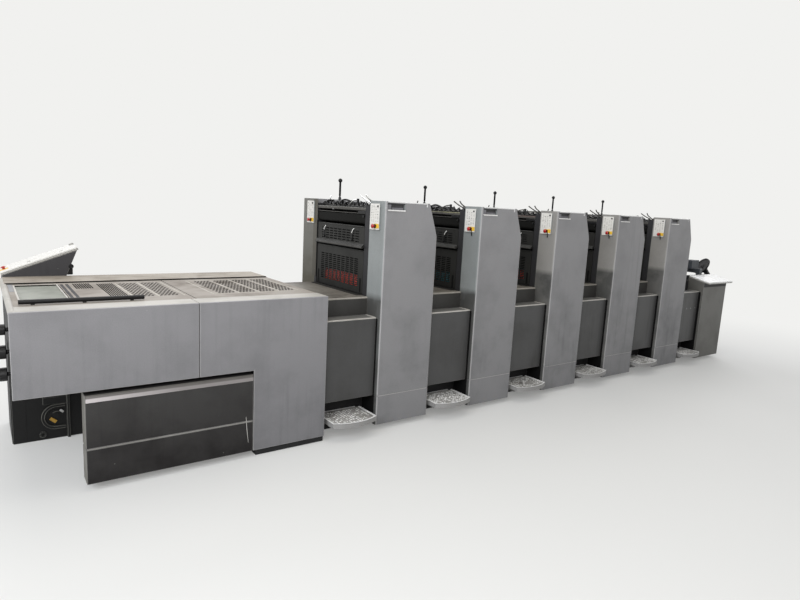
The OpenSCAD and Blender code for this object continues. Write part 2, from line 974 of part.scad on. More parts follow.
// Blanket cylinder with bearer rings, journals and the clamping channel
module blanket_cylinder(i) {
    color(i % 2 == 0 ? red : "#2c6068")
        place()
            translate([i * pitch, 0, 0])
                difference() {
                    union() {
                        rod_y(cyl_x, cyl_z, cyl_r - 2, bay_y0 + 20, bay_y1 - 20);
                        rod_y(cyl_x, cyl_z, cyl_r, bay_y0 + 8, bay_y0 + 30);
                        rod_y(cyl_x, cyl_z, cyl_r, bay_y1 - 30, bay_y1 - 8);
                        rod_y(cyl_x, cyl_z, journal_r, tower_d + 2, drive_y - 2);
                    }
                    translate([cyl_x, 0, cyl_z])
                        rotate([0, 40, 0])
                            span(-9, 9, bay_y0 + 42, bay_y1 - 42, -cyl_r - 10, -cyl_r + 22);
                }
}

module blanket_cylinder_1() blanket_cylinder(0);
module blanket_cylinder_2() blanket_cylinder(1);
module blanket_cylinder_3() blanket_cylinder(2);
module blanket_cylinder_4() blanket_cylinder(3);
module blanket_cylinder_5() blanket_cylinder(4);

// Front view of a guard with rounded upper corners
module guard_outline(z0, z1) {
    translate([guard_y0, z0])
        square([guard_w, z1 - z0 - guard_corner]);
    translate([guard_y0 + guard_corner, z1 - guard_corner - e])
        square([guard_w - 2 * guard_corner, guard_corner + e]);
    for (y = [guard_y0 + guard_corner, guard_y1 - guard_corner])
        circle_at(y, z1 - guard_corner, guard_corner);
}

// Slotted sheet in the YZ plane. Its grille is thinned from behind and is given by its rows and
// its lower and upper edge
module slotted_sheet(z0, z1, rows, grille) {
    col = (guard_w - 2 * grille_side) / slot_cols;
    row = (grille[1] - grille[0] - slot_h) / (rows - 1);
    first = guard_y0 + grille_side + (col - slot_l) / 2;
    difference() {
        rotate([90, 0, 90])
            linear_extrude(guard_t)
                difference() {
                    guard_outline(z0, z1);
                    for (i = [0 : slot_cols - 1])
                        for (j = [0 : rows - 1])
                            translate([first + i * col, grille[0] + j * row])
                                square([slot_l, slot_h]);
                }
        span(grille_t, guard_t + 1, guard_y0 + grille_side - 6, guard_y1 - grille_side + 6,
            grille[0] - 6, grille[1] + 6);
    }
}

// Hinge tube with its pins along the top of a guard
module guard_hinge(z) {
    rod_y(hinge_x, z, tube_r, guard_y0 + guard_corner, guard_y1 - guard_corner);
    rod_y(hinge_x, z, pin_r, bay_y0 - 20, bay_y1 + 20);
}

// Distance of a guard's front face behind the front of its unit
guard_x = hinge_x - guard_t / 2;
lip_out = 20;
upper_grille = [upper_guard_z + 38, upper_hinge_z - 25];
lower_grille = [lower_guard_z + 42, lower_hinge_z - 51];
slit_w = 14;
slit_in = 22;

// Upper guard: slotted sheet over a lip that stands out and leans forward
module upper_guard(i) {
    z = upper_guard_z;
    color(dark_grey)
        place()
            translate([i * pitch, 0, 0])
                union() {
                    translate([guard_x, 0, 0])
                        slotted_sheet(z + 14, upper_hinge_z + 4, upper_rows, upper_grille);
                    along_y(guard_y0, guard_y1)
                        polygon([[guard_x, z + 30], [guard_x + guard_t, z + 30], [guard_x + guard_t, z + 12],
                            [guard_x + 4 - lip_out, z], [guard_x - lip_out, z + 5],
                            [guard_x + 2 - lip_out, z + 14]]);
                    guard_hinge(upper_hinge_z);
                }
}

module upper_guard_1() upper_guard(0);
module upper_guard_2() upper_guard(1);
module upper_guard_3() upper_guard(2);
module upper_guard_4() upper_guard(3);
module upper_guard_5() upper_guard(4);

// Lower guard: slotted sheet with a grip slit at each side
module lower_guard(i) {
    color(dark_grey)
        place()
            translate([i * pitch, 0, 0])
                union() {
                    difference() {
                        translate([guard_x, 0, 0])
                            slotted_sheet(lower_guard_z, lower_hinge_z + 4, lower_rows, lower_grille);
                        for (y = [guard_y0 + slit_in, guard_y1 - slit_in - slit_w])
                            span(guard_x - 1, guard_x + guard_t + 1, y, y + slit_w,
                                lower_guard_z + 8, lower_guard_z + 98);
                    }
                    guard_hinge(lower_hinge_z);
                }
}

module lower_guard_1() lower_guard(0);
module lower_guard_2() lower_guard(1);
module lower_guard_3() lower_guard(2);
module lower_guard_4() lower_guard(3);
module lower_guard_5() lower_guard(4);

// Ball-knob lever on its pin
module lever(i) {
    hub_gap = 1.5;
    hub_r = far_wall_t / 2 - 0.5;
    lever_r = knob_r / 3;
    color("#151515")
        place()
            translate([i * pitch, 0, 0])
                union() {
                    rod_y(lever_x, lever_pivot_z, hub_r, bay_y1 + ear_t + hub_gap, drive_y - ear_t - hub_gap);
                    rod_y(lever_x, lever_pivot_z, lever_pin_r, bay_y1, drive_y);
                    translate([lever_x, lever_y, lever_pivot_z])
                        cylinder(r = lever_r, h = knob_z - lever_pivot_z);
                    translate([lever_x, lever_y, lever_pivot_z + ear_r + 2])
                        cylinder(r1 = hub_r, r2 = lever_r, h = 3 * hub_r / 2);
                    translate([lever_x, lever_y, knob_z])
                        sphere(knob_r);
                }
}

module lever_1() lever(0);
module lever_2() lever(1);
module lever_3() lever(2);
module lever_4() lever(3);
module lever_5() lever(4);

press_beds();
side_frames();
tower_covers();
drive_covers();
rear_covers();
roller_hoods();
ink_fountains();
inking_rollers();
platforms();
gap_panels();
foot_steps();
keypads();
stop_buttons();
delivery_frame();
delivery_panels();
kick_panels();
pile_side_plate();
deck_covers();
sight_glass();
deck_rails();
edge_bar();
desk_bodies();
desk_slabs();
end_knobs();
feeder_frame();
feeder_cabinet();
feeder_head();
feed_board();
pile_table();
feeder_handwheel();
blanket_cylinder_1();
blanket_cylinder_2();
blanket_cylinder_3();
blanket_cylinder_4();
blanket_cylinder_5();
upper_guard_1();
upper_guard_2();
upper_guard_3();
upper_guard_4();
upper_guard_5();
lower_guard_1();
lower_guard_2();
lower_guard_3();
lower_guard_4();
lower_guard_5();
lever_1();
lever_2();
lever_3();
lever_4();
lever_5();
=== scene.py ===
import bpy
import bmesh
import math
import random
from mathutils import Matrix, Vector


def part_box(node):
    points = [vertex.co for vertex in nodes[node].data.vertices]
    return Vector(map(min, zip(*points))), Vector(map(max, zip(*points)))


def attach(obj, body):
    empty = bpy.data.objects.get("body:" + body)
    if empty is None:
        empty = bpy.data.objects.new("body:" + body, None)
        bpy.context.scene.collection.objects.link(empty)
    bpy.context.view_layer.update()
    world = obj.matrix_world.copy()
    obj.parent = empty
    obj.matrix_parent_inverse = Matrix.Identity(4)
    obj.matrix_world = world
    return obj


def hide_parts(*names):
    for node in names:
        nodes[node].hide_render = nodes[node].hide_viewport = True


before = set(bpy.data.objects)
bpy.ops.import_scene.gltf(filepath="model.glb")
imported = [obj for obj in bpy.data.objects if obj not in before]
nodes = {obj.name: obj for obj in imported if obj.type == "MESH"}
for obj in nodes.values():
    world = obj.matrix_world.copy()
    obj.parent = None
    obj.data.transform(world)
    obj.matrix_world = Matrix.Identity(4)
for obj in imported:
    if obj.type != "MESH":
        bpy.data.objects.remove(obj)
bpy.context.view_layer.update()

# The camera stands a little in front of the delivery end and looks along the row of units.
# Every place below is written in millimetres from the first tower's left front foot.
ORIGIN_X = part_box("tower_covers")[0][0]
ORIGIN_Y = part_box("delivery_panels")[0][1]
PITCH = 787
UNITS = 5


def at(x, y, z):
    return Vector((ORIGIN_X + x / 1000, ORIGIN_Y + y / 1000, z / 1000))


LENS_MM = 26.19
CAMERA_PLACE = (-1981, -2903, 1402)
YAW, PITCH_DOWN, ROLL = math.radians(36.199), math.radians(9.022), math.radians(3.028)
level = Vector((math.sin(YAW), math.cos(YAW), 0))
forward = level * math.cos(PITCH_DOWN) - Vector((0, 0, math.sin(PITCH_DOWN)))
level_right = Vector((math.cos(YAW), -math.sin(YAW), 0))
level_up = level_right.cross(forward)
cam_right = math.cos(ROLL) * level_right + math.sin(ROLL) * level_up
cam_up = -math.sin(ROLL) * level_right + math.cos(ROLL) * level_up
lens = bpy.data.cameras.new("camera")
lens.lens = LENS_MM
lens.sensor_width = 36
lens.clip_end = 200
camera = bpy.data.objects.new("camera", lens)
bpy.context.scene.collection.objects.link(camera)
turn = Matrix((cam_right, cam_up, -forward)).transposed()
camera.matrix_world = Matrix.Translation(at(*CAMERA_PLACE)) @ turn.to_4x4()
bpy.context.scene.camera = camera
bpy.context.scene.view_settings.view_transform = "Standard"


# Studio: a pale floor that fades into the backdrop, a soft sky and five large lamps.
# The camera, glossy and transmitted rays see the pale backdrop; the press is lit by the sky behind it.
BACKDROP, SKY_TINT, SKY_STRENGTH = "f1f1ef", "f4f6fa", 0.44


def linear(hex_colour):
    values = [int(hex_colour[i:i + 2], 16) / 255 for i in (0, 2, 4)]
    return tuple(v / 12.92 if v <= 0.04045 else ((v + 0.055) / 1.055) ** 2.4 for v in values) + (1.0,)


def add(tree, kind, sockets=None, **settings):
    node = tree.nodes.new(kind)
    for name, value in settings.items():
        setattr(node, name, value)
    for key, value in (sockets or {}).items():
        if isinstance(value, bpy.types.NodeSocket):
            tree.links.new(value, node.inputs[key])
        else:
            node.inputs[key].default_value = value
    return node


def new_material(name):
    material = bpy.data.materials.new(name)
    material.use_nodes = True
    tree = material.node_tree
    return material, tree, tree.nodes["Principled BSDF"]


world = bpy.data.worlds.new("studio")
bpy.context.scene.world = world
world.use_nodes = True
sky = world.node_tree
sky_light = sky.nodes["Background"]
sky_light.inputs["Color"].default_value = linear(SKY_TINT)
sky_light.inputs["Strength"].default_value = SKY_STRENGTH
sky_seen = add(sky, "ShaderNodeBackground", {"Color": linear(BACKDROP), "Strength": 1.0})
sky_rays = add(sky, "ShaderNodeLightPath")
mirrored = add(sky, "ShaderNodeMath", {0: sky_rays.outputs["Is Camera Ray"],
                                       1: sky_rays.outputs["Is Glossy Ray"]}, operation="MAXIMUM")
seen = add(sky, "ShaderNodeMath", {0: mirrored.outputs[0], 1: sky_rays.outputs["Is Transmission Ray"]},
           operation="MAXIMUM")
sky_mix = add(sky, "ShaderNodeMixShader", {0: seen.outputs[0], 1: sky_light.outputs[0],
                                           2: sky_seen.outputs[0]})
sky.links.new(sky_mix.outputs[0], sky.nodes["World Output"].inputs["Surface"])

FLOOR_HALF_M, FLOOR_DROP_M = 60, 0.001
FADE_START_M, FADE_END_M, FADE_LEAST = 3.4, 6.4, 0.25
FADE_STRETCH = (1.0, 1.35, 0.0)
floor_mesh = bpy.data.meshes.new("floor")
bm = bmesh.new()
bmesh.ops.create_grid(bm, x_segments=1, y_segments=1, size=FLOOR_HALF_M)
bmesh.ops.translate(bm, verts=bm.verts, vec=(0, 0, -FLOOR_DROP_M))
bm.to_mesh(floor_mesh)
bm.free()
floor = bpy.data.objects.new("floor", floor_mesh)
bpy.context.scene.collection.objects.link(floor)
pale_floor, tree, shader = new_material("pale studio floor")
shader.inputs["Base Color"].default_value = linear("d9d9d6")
shader.inputs["Roughness"].default_value = 0.7
place = add(tree, "ShaderNodeTexCoord").outputs["Object"]
stretched = add(tree, "ShaderNodeVectorMath", {0: place, 1: FADE_STRETCH}, operation="MULTIPLY")
distance = add(tree, "ShaderNodeVectorMath", {0: stretched.outputs[0]}, operation="LENGTH")
fade = add(tree, "ShaderNodeMapRange", {"Value": distance.outputs["Value"], "From Min": FADE_START_M,
                                        "From Max": FADE_END_M, "To Min": FADE_LEAST},
           interpolation_type="SMOOTHSTEP")
rays = add(tree, "ShaderNodeLightPath")
near_sight = add(tree, "ShaderNodeMath", {0: rays.outputs["Is Camera Ray"],
                                          1: rays.outputs["Is Glossy Ray"]}, operation="MAXIMUM")
sight = add(tree, "ShaderNodeMath", {0: near_sight.outputs[0], 1: rays.outputs["Is Transmission Ray"]},
            operation="MAXIMUM")
faded = add(tree, "ShaderNodeMath", {0: fade.outputs[0], 1: sight.outputs[0]}, operation="MULTIPLY")
glow = add(tree, "ShaderNodeEmission", {"Color": linear(BACKDROP), "Strength": 1.0})
floor_mix = add(tree, "ShaderNodeMixShader", {0: faded.outputs[0], 1: shader.outputs[0], 2: glow.outputs[0]})
tree.links.new(floor_mix.outputs[0], tree.nodes["Material Output"].inputs["Surface"])
floor_mesh.materials.append(pale_floor)


def lamp(name, place, aim, width, height, power, colour):
    data = bpy.data.lights.new(name, "AREA")
    data.shape = "RECTANGLE"
    data.size = width
    data.size_y = height
    data.energy = power
    data.color = linear(colour)[:3]
    item = bpy.data.objects.new(name, data)
    bpy.context.scene.collection.objects.link(item)
    item.location = place
    item.rotation_euler = (Vector(aim) - Vector(place)).to_track_quat("-Z", "Y").to_euler()


lamp("lamp delivery side", (-7.2, -2.2, 3.8), (-1.4, 0.0, 0.9), 4.0, 3.0, 198, "f2f6ff")
lamp("lamp overhead", (-1.8, 0.2, 6.0), (-1.2, 0.2, 0.0), 6.0, 4.0, 120, "fff9ef")
lamp("lamp operator side", (-4.8, -5.0, 3.4), (-1.7, 0.0, 0.9), 3.4, 2.6, 178, "ffffff")
lamp("lamp drive side", (0.5, 6.2, 5.4), (0.0, 0.5, 0.7), 8.0, 4.0, 250, "fbfbff")
lamp("lamp feeder side", (6.8, 2.4, 4.4), (2.8, 0.1, 0.6), 4.0, 3.0, 130, "fbfbff")


# Press beds and side frames: cast iron, painted near-black below and dark grey on the walls.
# Stoved enamel: a satin coat that shows soft lamps, faint orange peel and bare metal where it is chipped.
# Hands and rags leave cloudy patches and wiped streaks on it, and it darkens towards the bottom, partly
# settled dirt and partly painted shade.
BLOTCH_MM, PATCH_MM, GRAIN_MM = 320, 800, 5
PEEL_MM, PEEL_DEEP_M = 2.4, 0.0006
CHIP_CELL_MM, CHIP_R_MM = 90, 1.3
GRIME_DULLS, GRAIN_SHADES = 0.25, (0.95, 1.05)


def finish(name, colour, dirt_and_shade, rough=0.42, streak=0.3, low=0.3, low_from=0.0, low_top=0.9, chips=0.4,
           bare="b4b3ae", shine=0.5, metallic=0.0, wipe_mm=34, wipe_long_mm=480):
    material, tree, shader = new_material(name)
    place = add(tree, "ShaderNodeTexCoord").outputs["Object"]
    blotches = add(tree, "ShaderNodeTexNoise", {"Vector": place, "Scale": 1000 / BLOTCH_MM, "Detail": 7.0,
                                                "Roughness": 0.6})
    patches = add(tree, "ShaderNodeTexNoise", {"Vector": place, "Scale": 1000 / PATCH_MM, "Detail": 2.0})
    tall = add(tree, "ShaderNodeMapping", {"Vector": place, "Scale": (1000 / wipe_mm, 1000 / wipe_mm,
                                                                     1000 / wipe_long_mm)})
    wipes = add(tree, "ShaderNodeTexNoise", {"Vector": tall.outputs[0], "Scale": 1.0, "Detail": 5.0})
    wiped = add(tree, "ShaderNodeMapRange", {"Value": wipes.outputs["Fac"], "From Min": 0.52,
                                             "From Max": 0.78, "To Max": streak})
    patched = add(tree, "ShaderNodeMapRange", {"Value": patches.outputs["Fac"], "From Min": 0.44,
                                               "From Max": 0.62})
    streaks = add(tree, "ShaderNodeMath", {0: wiped.outputs[0], 1: patched.outputs[0]}, operation="MULTIPLY")
    blotched = add(tree, "ShaderNodeMapRange", {"Value": blotches.outputs["Fac"], "From Min": 0.46,
                                                "From Max": 0.74, "To Max": streak})
    height = add(tree, "ShaderNodeSeparateXYZ", {"Vector": place})
    lowness = add(tree, "ShaderNodeMapRange", {"Value": height.outputs["Z"], "From Min": low_from,
                                               "From Max": low_top, "To Min": low, "To Max": 0.0})
    uneven = add(tree, "ShaderNodeMapRange", {"Value": blotches.outputs["Fac"], "From Min": 0.3,
                                              "From Max": 0.7, "To Min": 0.75, "To Max": 1.2})
    low_shade_and_dirt = add(tree, "ShaderNodeMath", {0: lowness.outputs[0], 1: uneven.outputs[0]},
                  operation="MULTIPLY")
    smears = add(tree, "ShaderNodeMath", {0: streaks.outputs[0], 1: blotched.outputs[0]}, operation="ADD")
    # The soiled mask joins the dirt marks with the painted shade low down.
    soiled = add(tree, "ShaderNodeMath", {0: smears.outputs[0], 1: low_shade_and_dirt.outputs[0]}, operation="ADD",
                 use_clamp=True)
    coat = add(tree, "ShaderNodeMix", {0: soiled.outputs[0], 6: linear(colour), 7: linear(dirt_and_shade)},
               data_type="RGBA")
    grain = add(tree, "ShaderNodeTexNoise", {"Vector": place, "Scale": 1000 / GRAIN_MM, "Detail": 3.0})
    grained = add(tree, "ShaderNodeMapRange", {"Value": grain.outputs["Fac"], "From Min": 0.35,
                                               "From Max": 0.65, "To Min": GRAIN_SHADES[0],
                                               "To Max": GRAIN_SHADES[1]})
    speckled = add(tree, "ShaderNodeHueSaturation", {"Color": coat.outputs[2], "Value": grained.outputs[0]})
    cells = add(tree, "ShaderNodeTexVoronoi", {"Vector": place, "Scale": 1000 / CHIP_CELL_MM})
    chipped = add(tree, "ShaderNodeMapRange", {"Value": cells.outputs["Distance"],
                                               "From Min": CHIP_R_MM / CHIP_CELL_MM,
                                               "From Max": 2 * CHIP_R_MM / CHIP_CELL_MM, "To Min": chips,
                                               "To Max": 0.0})
    worn = add(tree, "ShaderNodeMix", {0: chipped.outputs[0], 6: speckled.outputs[0], 7: linear(bare)},
               data_type="RGBA")
    tree.links.new(worn.outputs[2], shader.inputs["Base Color"])
    gloss = add(tree, "ShaderNodeMapRange", {"Value": soiled.outputs[0], "To Min": rough,
                                             "To Max": rough + GRIME_DULLS})
    tree.links.new(gloss.outputs[0], shader.inputs["Roughness"])
    peel = add(tree, "ShaderNodeTexNoise", {"Vector": place, "Scale": 1000 / PEEL_MM, "Detail": 1.0})
    bump = add(tree, "ShaderNodeBump", {"Height": peel.outputs["Fac"], "Strength": 0.05,
                                        "Distance": PEEL_DEEP_M})
    tree.links.new(bump.outputs[0], shader.inputs["Normal"])
    shader.inputs["Metallic"].default_value = metallic
    shader.inputs["Specular IOR Level"].default_value = shine
    return material


def write_piece(name, bm, materials, body, sharp_deg=35):
    for face in bm.faces:
        face.smooth = True
    for edge in bm.edges:
        edge.smooth = edge.is_manifold and edge.calc_face_angle(0) < math.radians(sharp_deg)
    mesh = bpy.data.meshes.new(name)
    bm.to_mesh(mesh)
    bm.free()
    for material in materials:
        mesh.materials.append(material)
    item = bpy.data.objects.new(name, mesh)
    bpy.context.scene.collection.objects.link(item)
    shade = item.modifiers.new("even shading", "WEIGHTED_NORMAL")
    shade.keep_sharp = True
    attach(item, body)
    return item


MERGE_M, FLAT_TURN, EDGE_TURN = 1e-5, math.radians(1), math.radians(32)


def softened(node, radius, materials, body="press", segments=2, choose=None, trim=None):
    bm = bmesh.new()
    bm.from_mesh(nodes[node].data)
    bmesh.ops.remove_doubles(bm, verts=bm.verts, dist=MERGE_M)
    if trim:
        trim(bm)
    bmesh.ops.dissolve_limit(bm, angle_limit=FLAT_TURN, verts=bm.verts, edges=bm.edges)
    edges = [e for e in bm.edges if e.is_manifold and e.calc_face_angle(0) > EDGE_TURN]
    made = bmesh.ops.bevel(bm, geom=edges, offset=radius / 1000, segments=segments, profile=0.5,
                           affect="EDGES", material=-1, clamp_overlap=True)
    rounded = set(made["faces"])
    for face in bm.faces:
        face.material_index = choose(face, face in rounded) if choose else 0
    piece = write_piece(node + "_rounded", bm, materials, body)
    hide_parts(node)
    return piece


def mm(point):
    return Vector(((point.x - ORIGIN_X) * 1000, (point.y - ORIGIN_Y) * 1000, point.z * 1000))


# Bevels take a paler edge colour: partly rubbed wear, partly painted highlight.
def worn_and_highlit_edges(face, is_rounded):
    return 1 if is_rounded else 0


def paint(name, material):
    slots = nodes[name].data.materials
    slots.clear()
    slots.append(material)


frame_enamel = finish("near-black bed enamel", "1f1f20", "141413", rough=0.55, shine=0.3)
wall_enamel = finish("dark grey wall enamel", "28282a", "1e1e1d", rough=0.5, shine=0.3, low_from=0.7,
                     low_top=1.1)
wall_edge_wear_highlight = finish("rubbed wall edges with painted highlight", "3a3a39", "2c2b2a", rough=0.5, shine=0.3)
paint("press_beds", frame_enamel)
softened("side_frames", 1.5, [wall_enamel, wall_edge_wear_highlight], choose=worn_and_highlit_edges)


# Tower covers: deep-drawn sheet steel, sprayed grey, hung on the near walls; a skirt below a seam.
# Edges are rounded and painted paler, partly rubbed wear and partly painted highlight, with a bright painted
# highlight along the top; each has a grip pocket with a pale plastic lip near its top.
# Their sides face the treads and are copies of the grey, near-black below a set height as painted shade; a
# matt black strip below the ledge is painted shade in the joint to the gap panels.
TOWER_W, TOWER_D, TOWER_TOP, SKIRT_Z, GAP_TOP = 415, 165, 1435, 222, 723
TOWER_ROUND, HIGHLIGHT_BAND = 2.5, 5
cover_enamel = finish("grey cover enamel", "8b8a8b", "69696a", streak=0.4, low=0.65, low_top=1.3)
cover_edge_wear_highlight = finish("rubbed grey cover edges with painted highlight", "9d9c9c", "7b7977", rough=0.36, streak=0.3, low_top=1.25)
cover_top_highlight = finish("painted highlight on cover top edge", "e4e4e2", "b9b7b4", rough=0.3, streak=0.3, low=0.0)
# Side copies of the grey: near-black below a set height as painted shade, and cooler on the first two units
# as painted reflection.
cover_side_reflection_and_shade = finish("grey cover side enamel with painted shade", "898d8c", "434341", rough=0.36, streak=0.25, low=0.9,
                    low_from=0.825, low_top=0.87)
cover_side_feeder_shade = finish("painted shade on the cover side near the feeder", "8e8c88", "474745", rough=0.36,
                           streak=0.25, low=0.85, low_from=0.945, low_top=0.985)


# The top bevel takes the painted highlight, other bevels and corner facets the paler edge colour, and the
# sides their copies with painted shade.
def cover_parts(face, is_rounded):
    centre, out = mm(face.calc_center_median()), face.normal
    if is_rounded and centre.z > TOWER_TOP - HIGHLIGHT_BAND:
        return 2
    if is_rounded or (abs(out.x) > 0.3 and abs(out.y) > 0.7 and abs(out.z) < 0.1):
        return 1
    if abs(out.x) > 0.6:
        return 3 if centre.x < 2 * PITCH - 1 else 4
    return 0


softened("tower_covers", TOWER_ROUND, [cover_enamel, cover_edge_wear_highlight, cover_top_highlight, cover_side_reflection_and_shade, cover_side_feeder_shade],
         segments=3, choose=cover_parts)


def new_piece(name, bm, material, body="press", sharp_deg=35):
    bmesh.ops.recalc_face_normals(bm, faces=bm.faces)
    return write_piece(name, bm, [material], body, sharp_deg)


def block(bm, low, high, edge=0.0, segments=2, place=None):
    first = at(*low) if place is None else Vector(low) / 1000
    last = at(*high) if place is None else Vector(high) / 1000
    verts = bmesh.ops.create_cube(bm, size=1.0)["verts"]
    bmesh.ops.scale(bm, vec=last - first, verts=verts)
    bmesh.ops.translate(bm, vec=(first + last) / 2, verts=verts)
    if place is not None:
        bmesh.ops.transform(bm, matrix=place, verts=verts)
    if edge:
        rims = list({e for v in verts for e in v.link_edges})
        bmesh.ops.bevel(bm, geom=rims, offset=edge / 1000, segments=segments, profile=0.5, affect="EDGES",
                        material=-1)


# Moulded plastic is dark and even, and its rubbed faces turn grey; seal rubber is matt black, and the same
# matt black on the towers' sides below the ledge is painted shade.
GRIP_X0, GRIP_X1, GRIP_Z0, GRIP_Z1, GRIP_DEEP = 17, 147, 1383, 1425, 24
LATCH_W, SILL_X, SILL_H, LIP_OUT, LIP_DROP = 30, 38, 15, 5, 6
HIGHLIGHT_L, HIGHLIGHT_H, HIGHLIGHT_CORNER_H = 302, 6.5, 24
SEAM_IN, SEAM_H, SIDE_SHADE_Y, SIDE_SHADE_Z = 13, 2.4, 27, 40
pocket_plastic = finish("moulded dark pocket plastic", "3c3b3d", "1b1b1b", rough=0.5, streak=0.8, low=0.0)
pocket_face = finish("worn pocket inset", "77767a", "4c4b4c", rough=0.45, streak=0.7, low=0.0)
lip_plastic = finish("pale moulded lip", "e2e1de", "bdbab4", rough=0.35, streak=0.2, low=0.0, chips=0.0)
seam_strip = finish("pale seam strip", "b0aea9", "8f8d88", rough=0.4, streak=0.4, low=0.0)
black_rubber_and_shade = finish("black seal rubber and painted shade", "0e0e0e", "090909", rough=0.8, low=0.0, chips=0.0, shine=0.1)
pockets, insets, lips, seams, side_shades, top_highlights = (bmesh.new() for _ in range(6))
for i in range(UNITS):
    x = i * PITCH
    x0, x1 = x + GRIP_X0 + 1, x + GRIP_X1 - 1
    block(pockets, (x0, 15, GRIP_Z0 + 1), (x1, GRIP_DEEP - 1, GRIP_Z1 - 1), 2)
    block(pockets, (x0, 2, GRIP_Z1 - 6), (x1, 16, GRIP_Z1 - 1), 1)
    block(insets, (x0, 4, GRIP_Z0 + 1), (x0 + LATCH_W, 16, GRIP_Z1 - 7), 5, 3)
    block(insets, (x0 + SILL_X, 11, GRIP_Z0 + 2), (x1 - 6, 16, GRIP_Z0 + 2 + SILL_H), 3, 3)
    block(lips, (x0 + 1, -LIP_OUT, GRIP_Z0 - LIP_DROP), (x1 + 4, 5, GRIP_Z0 + 3), 2.5, 3)
    # A bright strip along each cover's top edge, turning down at its right end, is a painted highlight.
    block(top_highlights, (x0 + 2, -0.8, TOWER_TOP - HIGHLIGHT_H), (x0 + HIGHLIGHT_L, 3, TOWER_TOP + 0.2), 1.6)
    block(top_highlights, (x0 + HIGHLIGHT_L - 6, -0.8, TOWER_TOP - HIGHLIGHT_CORNER_H), (x0 + HIGHLIGHT_L + 1, 3, TOWER_TOP - 5), 1.6)
    block(seams, (x + SEAM_IN, -0.4, SKIRT_Z + 0.2), (x + TOWER_W - SEAM_IN, 3, SKIRT_Z + 0.2 + SEAM_H), 0.6)
    # A matt black strip on each tower's side below the ledge is painted shade in the joint to the gap panel.
    block(side_shades, (x - 0.7, SIDE_SHADE_Y, SIDE_SHADE_Z), (x + 0.4, TOWER_D - 2, GAP_TOP - 8), 0.3)
new_piece("grip_pockets", pockets, pocket_plastic)
new_piece("grip_insets", insets, pocket_face)
new_piece("grip_lips", lips, lip_plastic)
new_piece("seam_strips", seams, seam_strip)
new_piece("cover_side_shades", side_shades, black_rubber_and_shade)
new_piece("cover_top_highlights", top_highlights, cover_top_highlight)

# Drive-side covers: the same sheet steel, plain, with round-headed screws along their seams.
# Rear covers: flat dark sheets that close the feeder side of each unit, screwed at the corners.
DRIVE_Y, DRIVE_D = 879, 202
BACK_Y = DRIVE_Y + DRIVE_D
# The drive covers' sides take a darker grey-brown copy of the cover grey, darker again low down: painted
# shade.
far_side_shade = finish("grey-brown far side enamel with painted shade", "6f6e69", "4c483c", rough=0.45, low=0.9, low_from=0.86,
                  low_top=1.35)
dark_enamel = finish("dark grey enamel", "383739", "282728", rough=0.45, streak=0.4, low=0.3, shine=0.4)
dark_edge_wear_highlight = finish("rubbed dark grey edges with painted highlight", "757471", "4a4946", rough=0.38)
softened("drive_covers", 2.5, [cover_enamel, cover_edge_wear_highlight, cover_top_highlight, far_side_shade, far_side_shade],
         segments=3, choose=cover_parts)
wall_brown = finish("brown-grey wall strip", "504d45", "3b372e", rough=0.5, streak=0.5, low=0.5,
                    low_from=0.9, low_top=1.2)
wall_strips, bay_seals = bmesh.new(), bmesh.new()
for i in range(UNITS):
    block(wall_strips, (i * PITCH - 0.9, 854, 880), (i * PITCH + 0.5, 914, TOWER_TOP - 3), 0.4)
    block(bay_seals, (i * PITCH - 1.5, 846, 880), (i * PITCH + 0.5, 858, 1284), 0.5)
new_piece("far_wall_strips", wall_strips, wall_brown)
new_piece("far_bay_seals", bay_seals, black_rubber_and_shade)
softened("rear_covers", 1.0, [dark_enamel, dark_edge_wear_highlight], choose=worn_and_highlit_edges)


def rod(bm, start, end, radius, segments=16, end_radius=None, edge=0.0, place=None):
    a = at(*start) if place is None else Vector(start) / 1000
    b = at(*end) if place is None else Vector(end) / 1000
    matrix = Matrix.Translation((a + b) / 2) @ (b - a).to_track_quat("Z", "Y").to_matrix().to_4x4()
    if place is not None:
        matrix = place @ matrix
    verts = bmesh.ops.create_cone(bm, cap_ends=True, segments=segments, radius1=radius / 1000,
                                  radius2=(radius if end_radius is None else end_radius) / 1000,
                                  depth=(b - a).length, matrix=matrix)["verts"]
    if edge:
        caps = {f for v in verts for f in v.link_faces if len(f.verts) == segments}
        rims = [e for f in caps for e in f.edges]
        bmesh.ops.bevel(bm, geom=rims, offset=edge / 1000, segments=2, profile=0.5, affect="EDGES",
                        material=-1)


steel = finish("bare machined steel", "8f9091", "5f5d5a", rough=0.34, streak=0.45, low=0.0, metallic=0.8)
screws = bmesh.new()
for i in range(UNITS):
    for z in (SKIRT_Z - 40, SKIRT_Z + 40, 720, 1180):
        for x in (24, TOWER_W - 24):
            rod(screws, (i * PITCH + x, BACK_Y - 1, z), (i * PITCH + x, BACK_Y + 3, z), 6, 12, 4.5)
    for y in (260, 810):
        for z in (880, 1170):
            x = i * PITCH + TOWER_W - 5
            rod(screws, (x, y, z), (x + 4, y, z), 6, 12, 4.5)
new_piece("cover_screws", screws, steel)

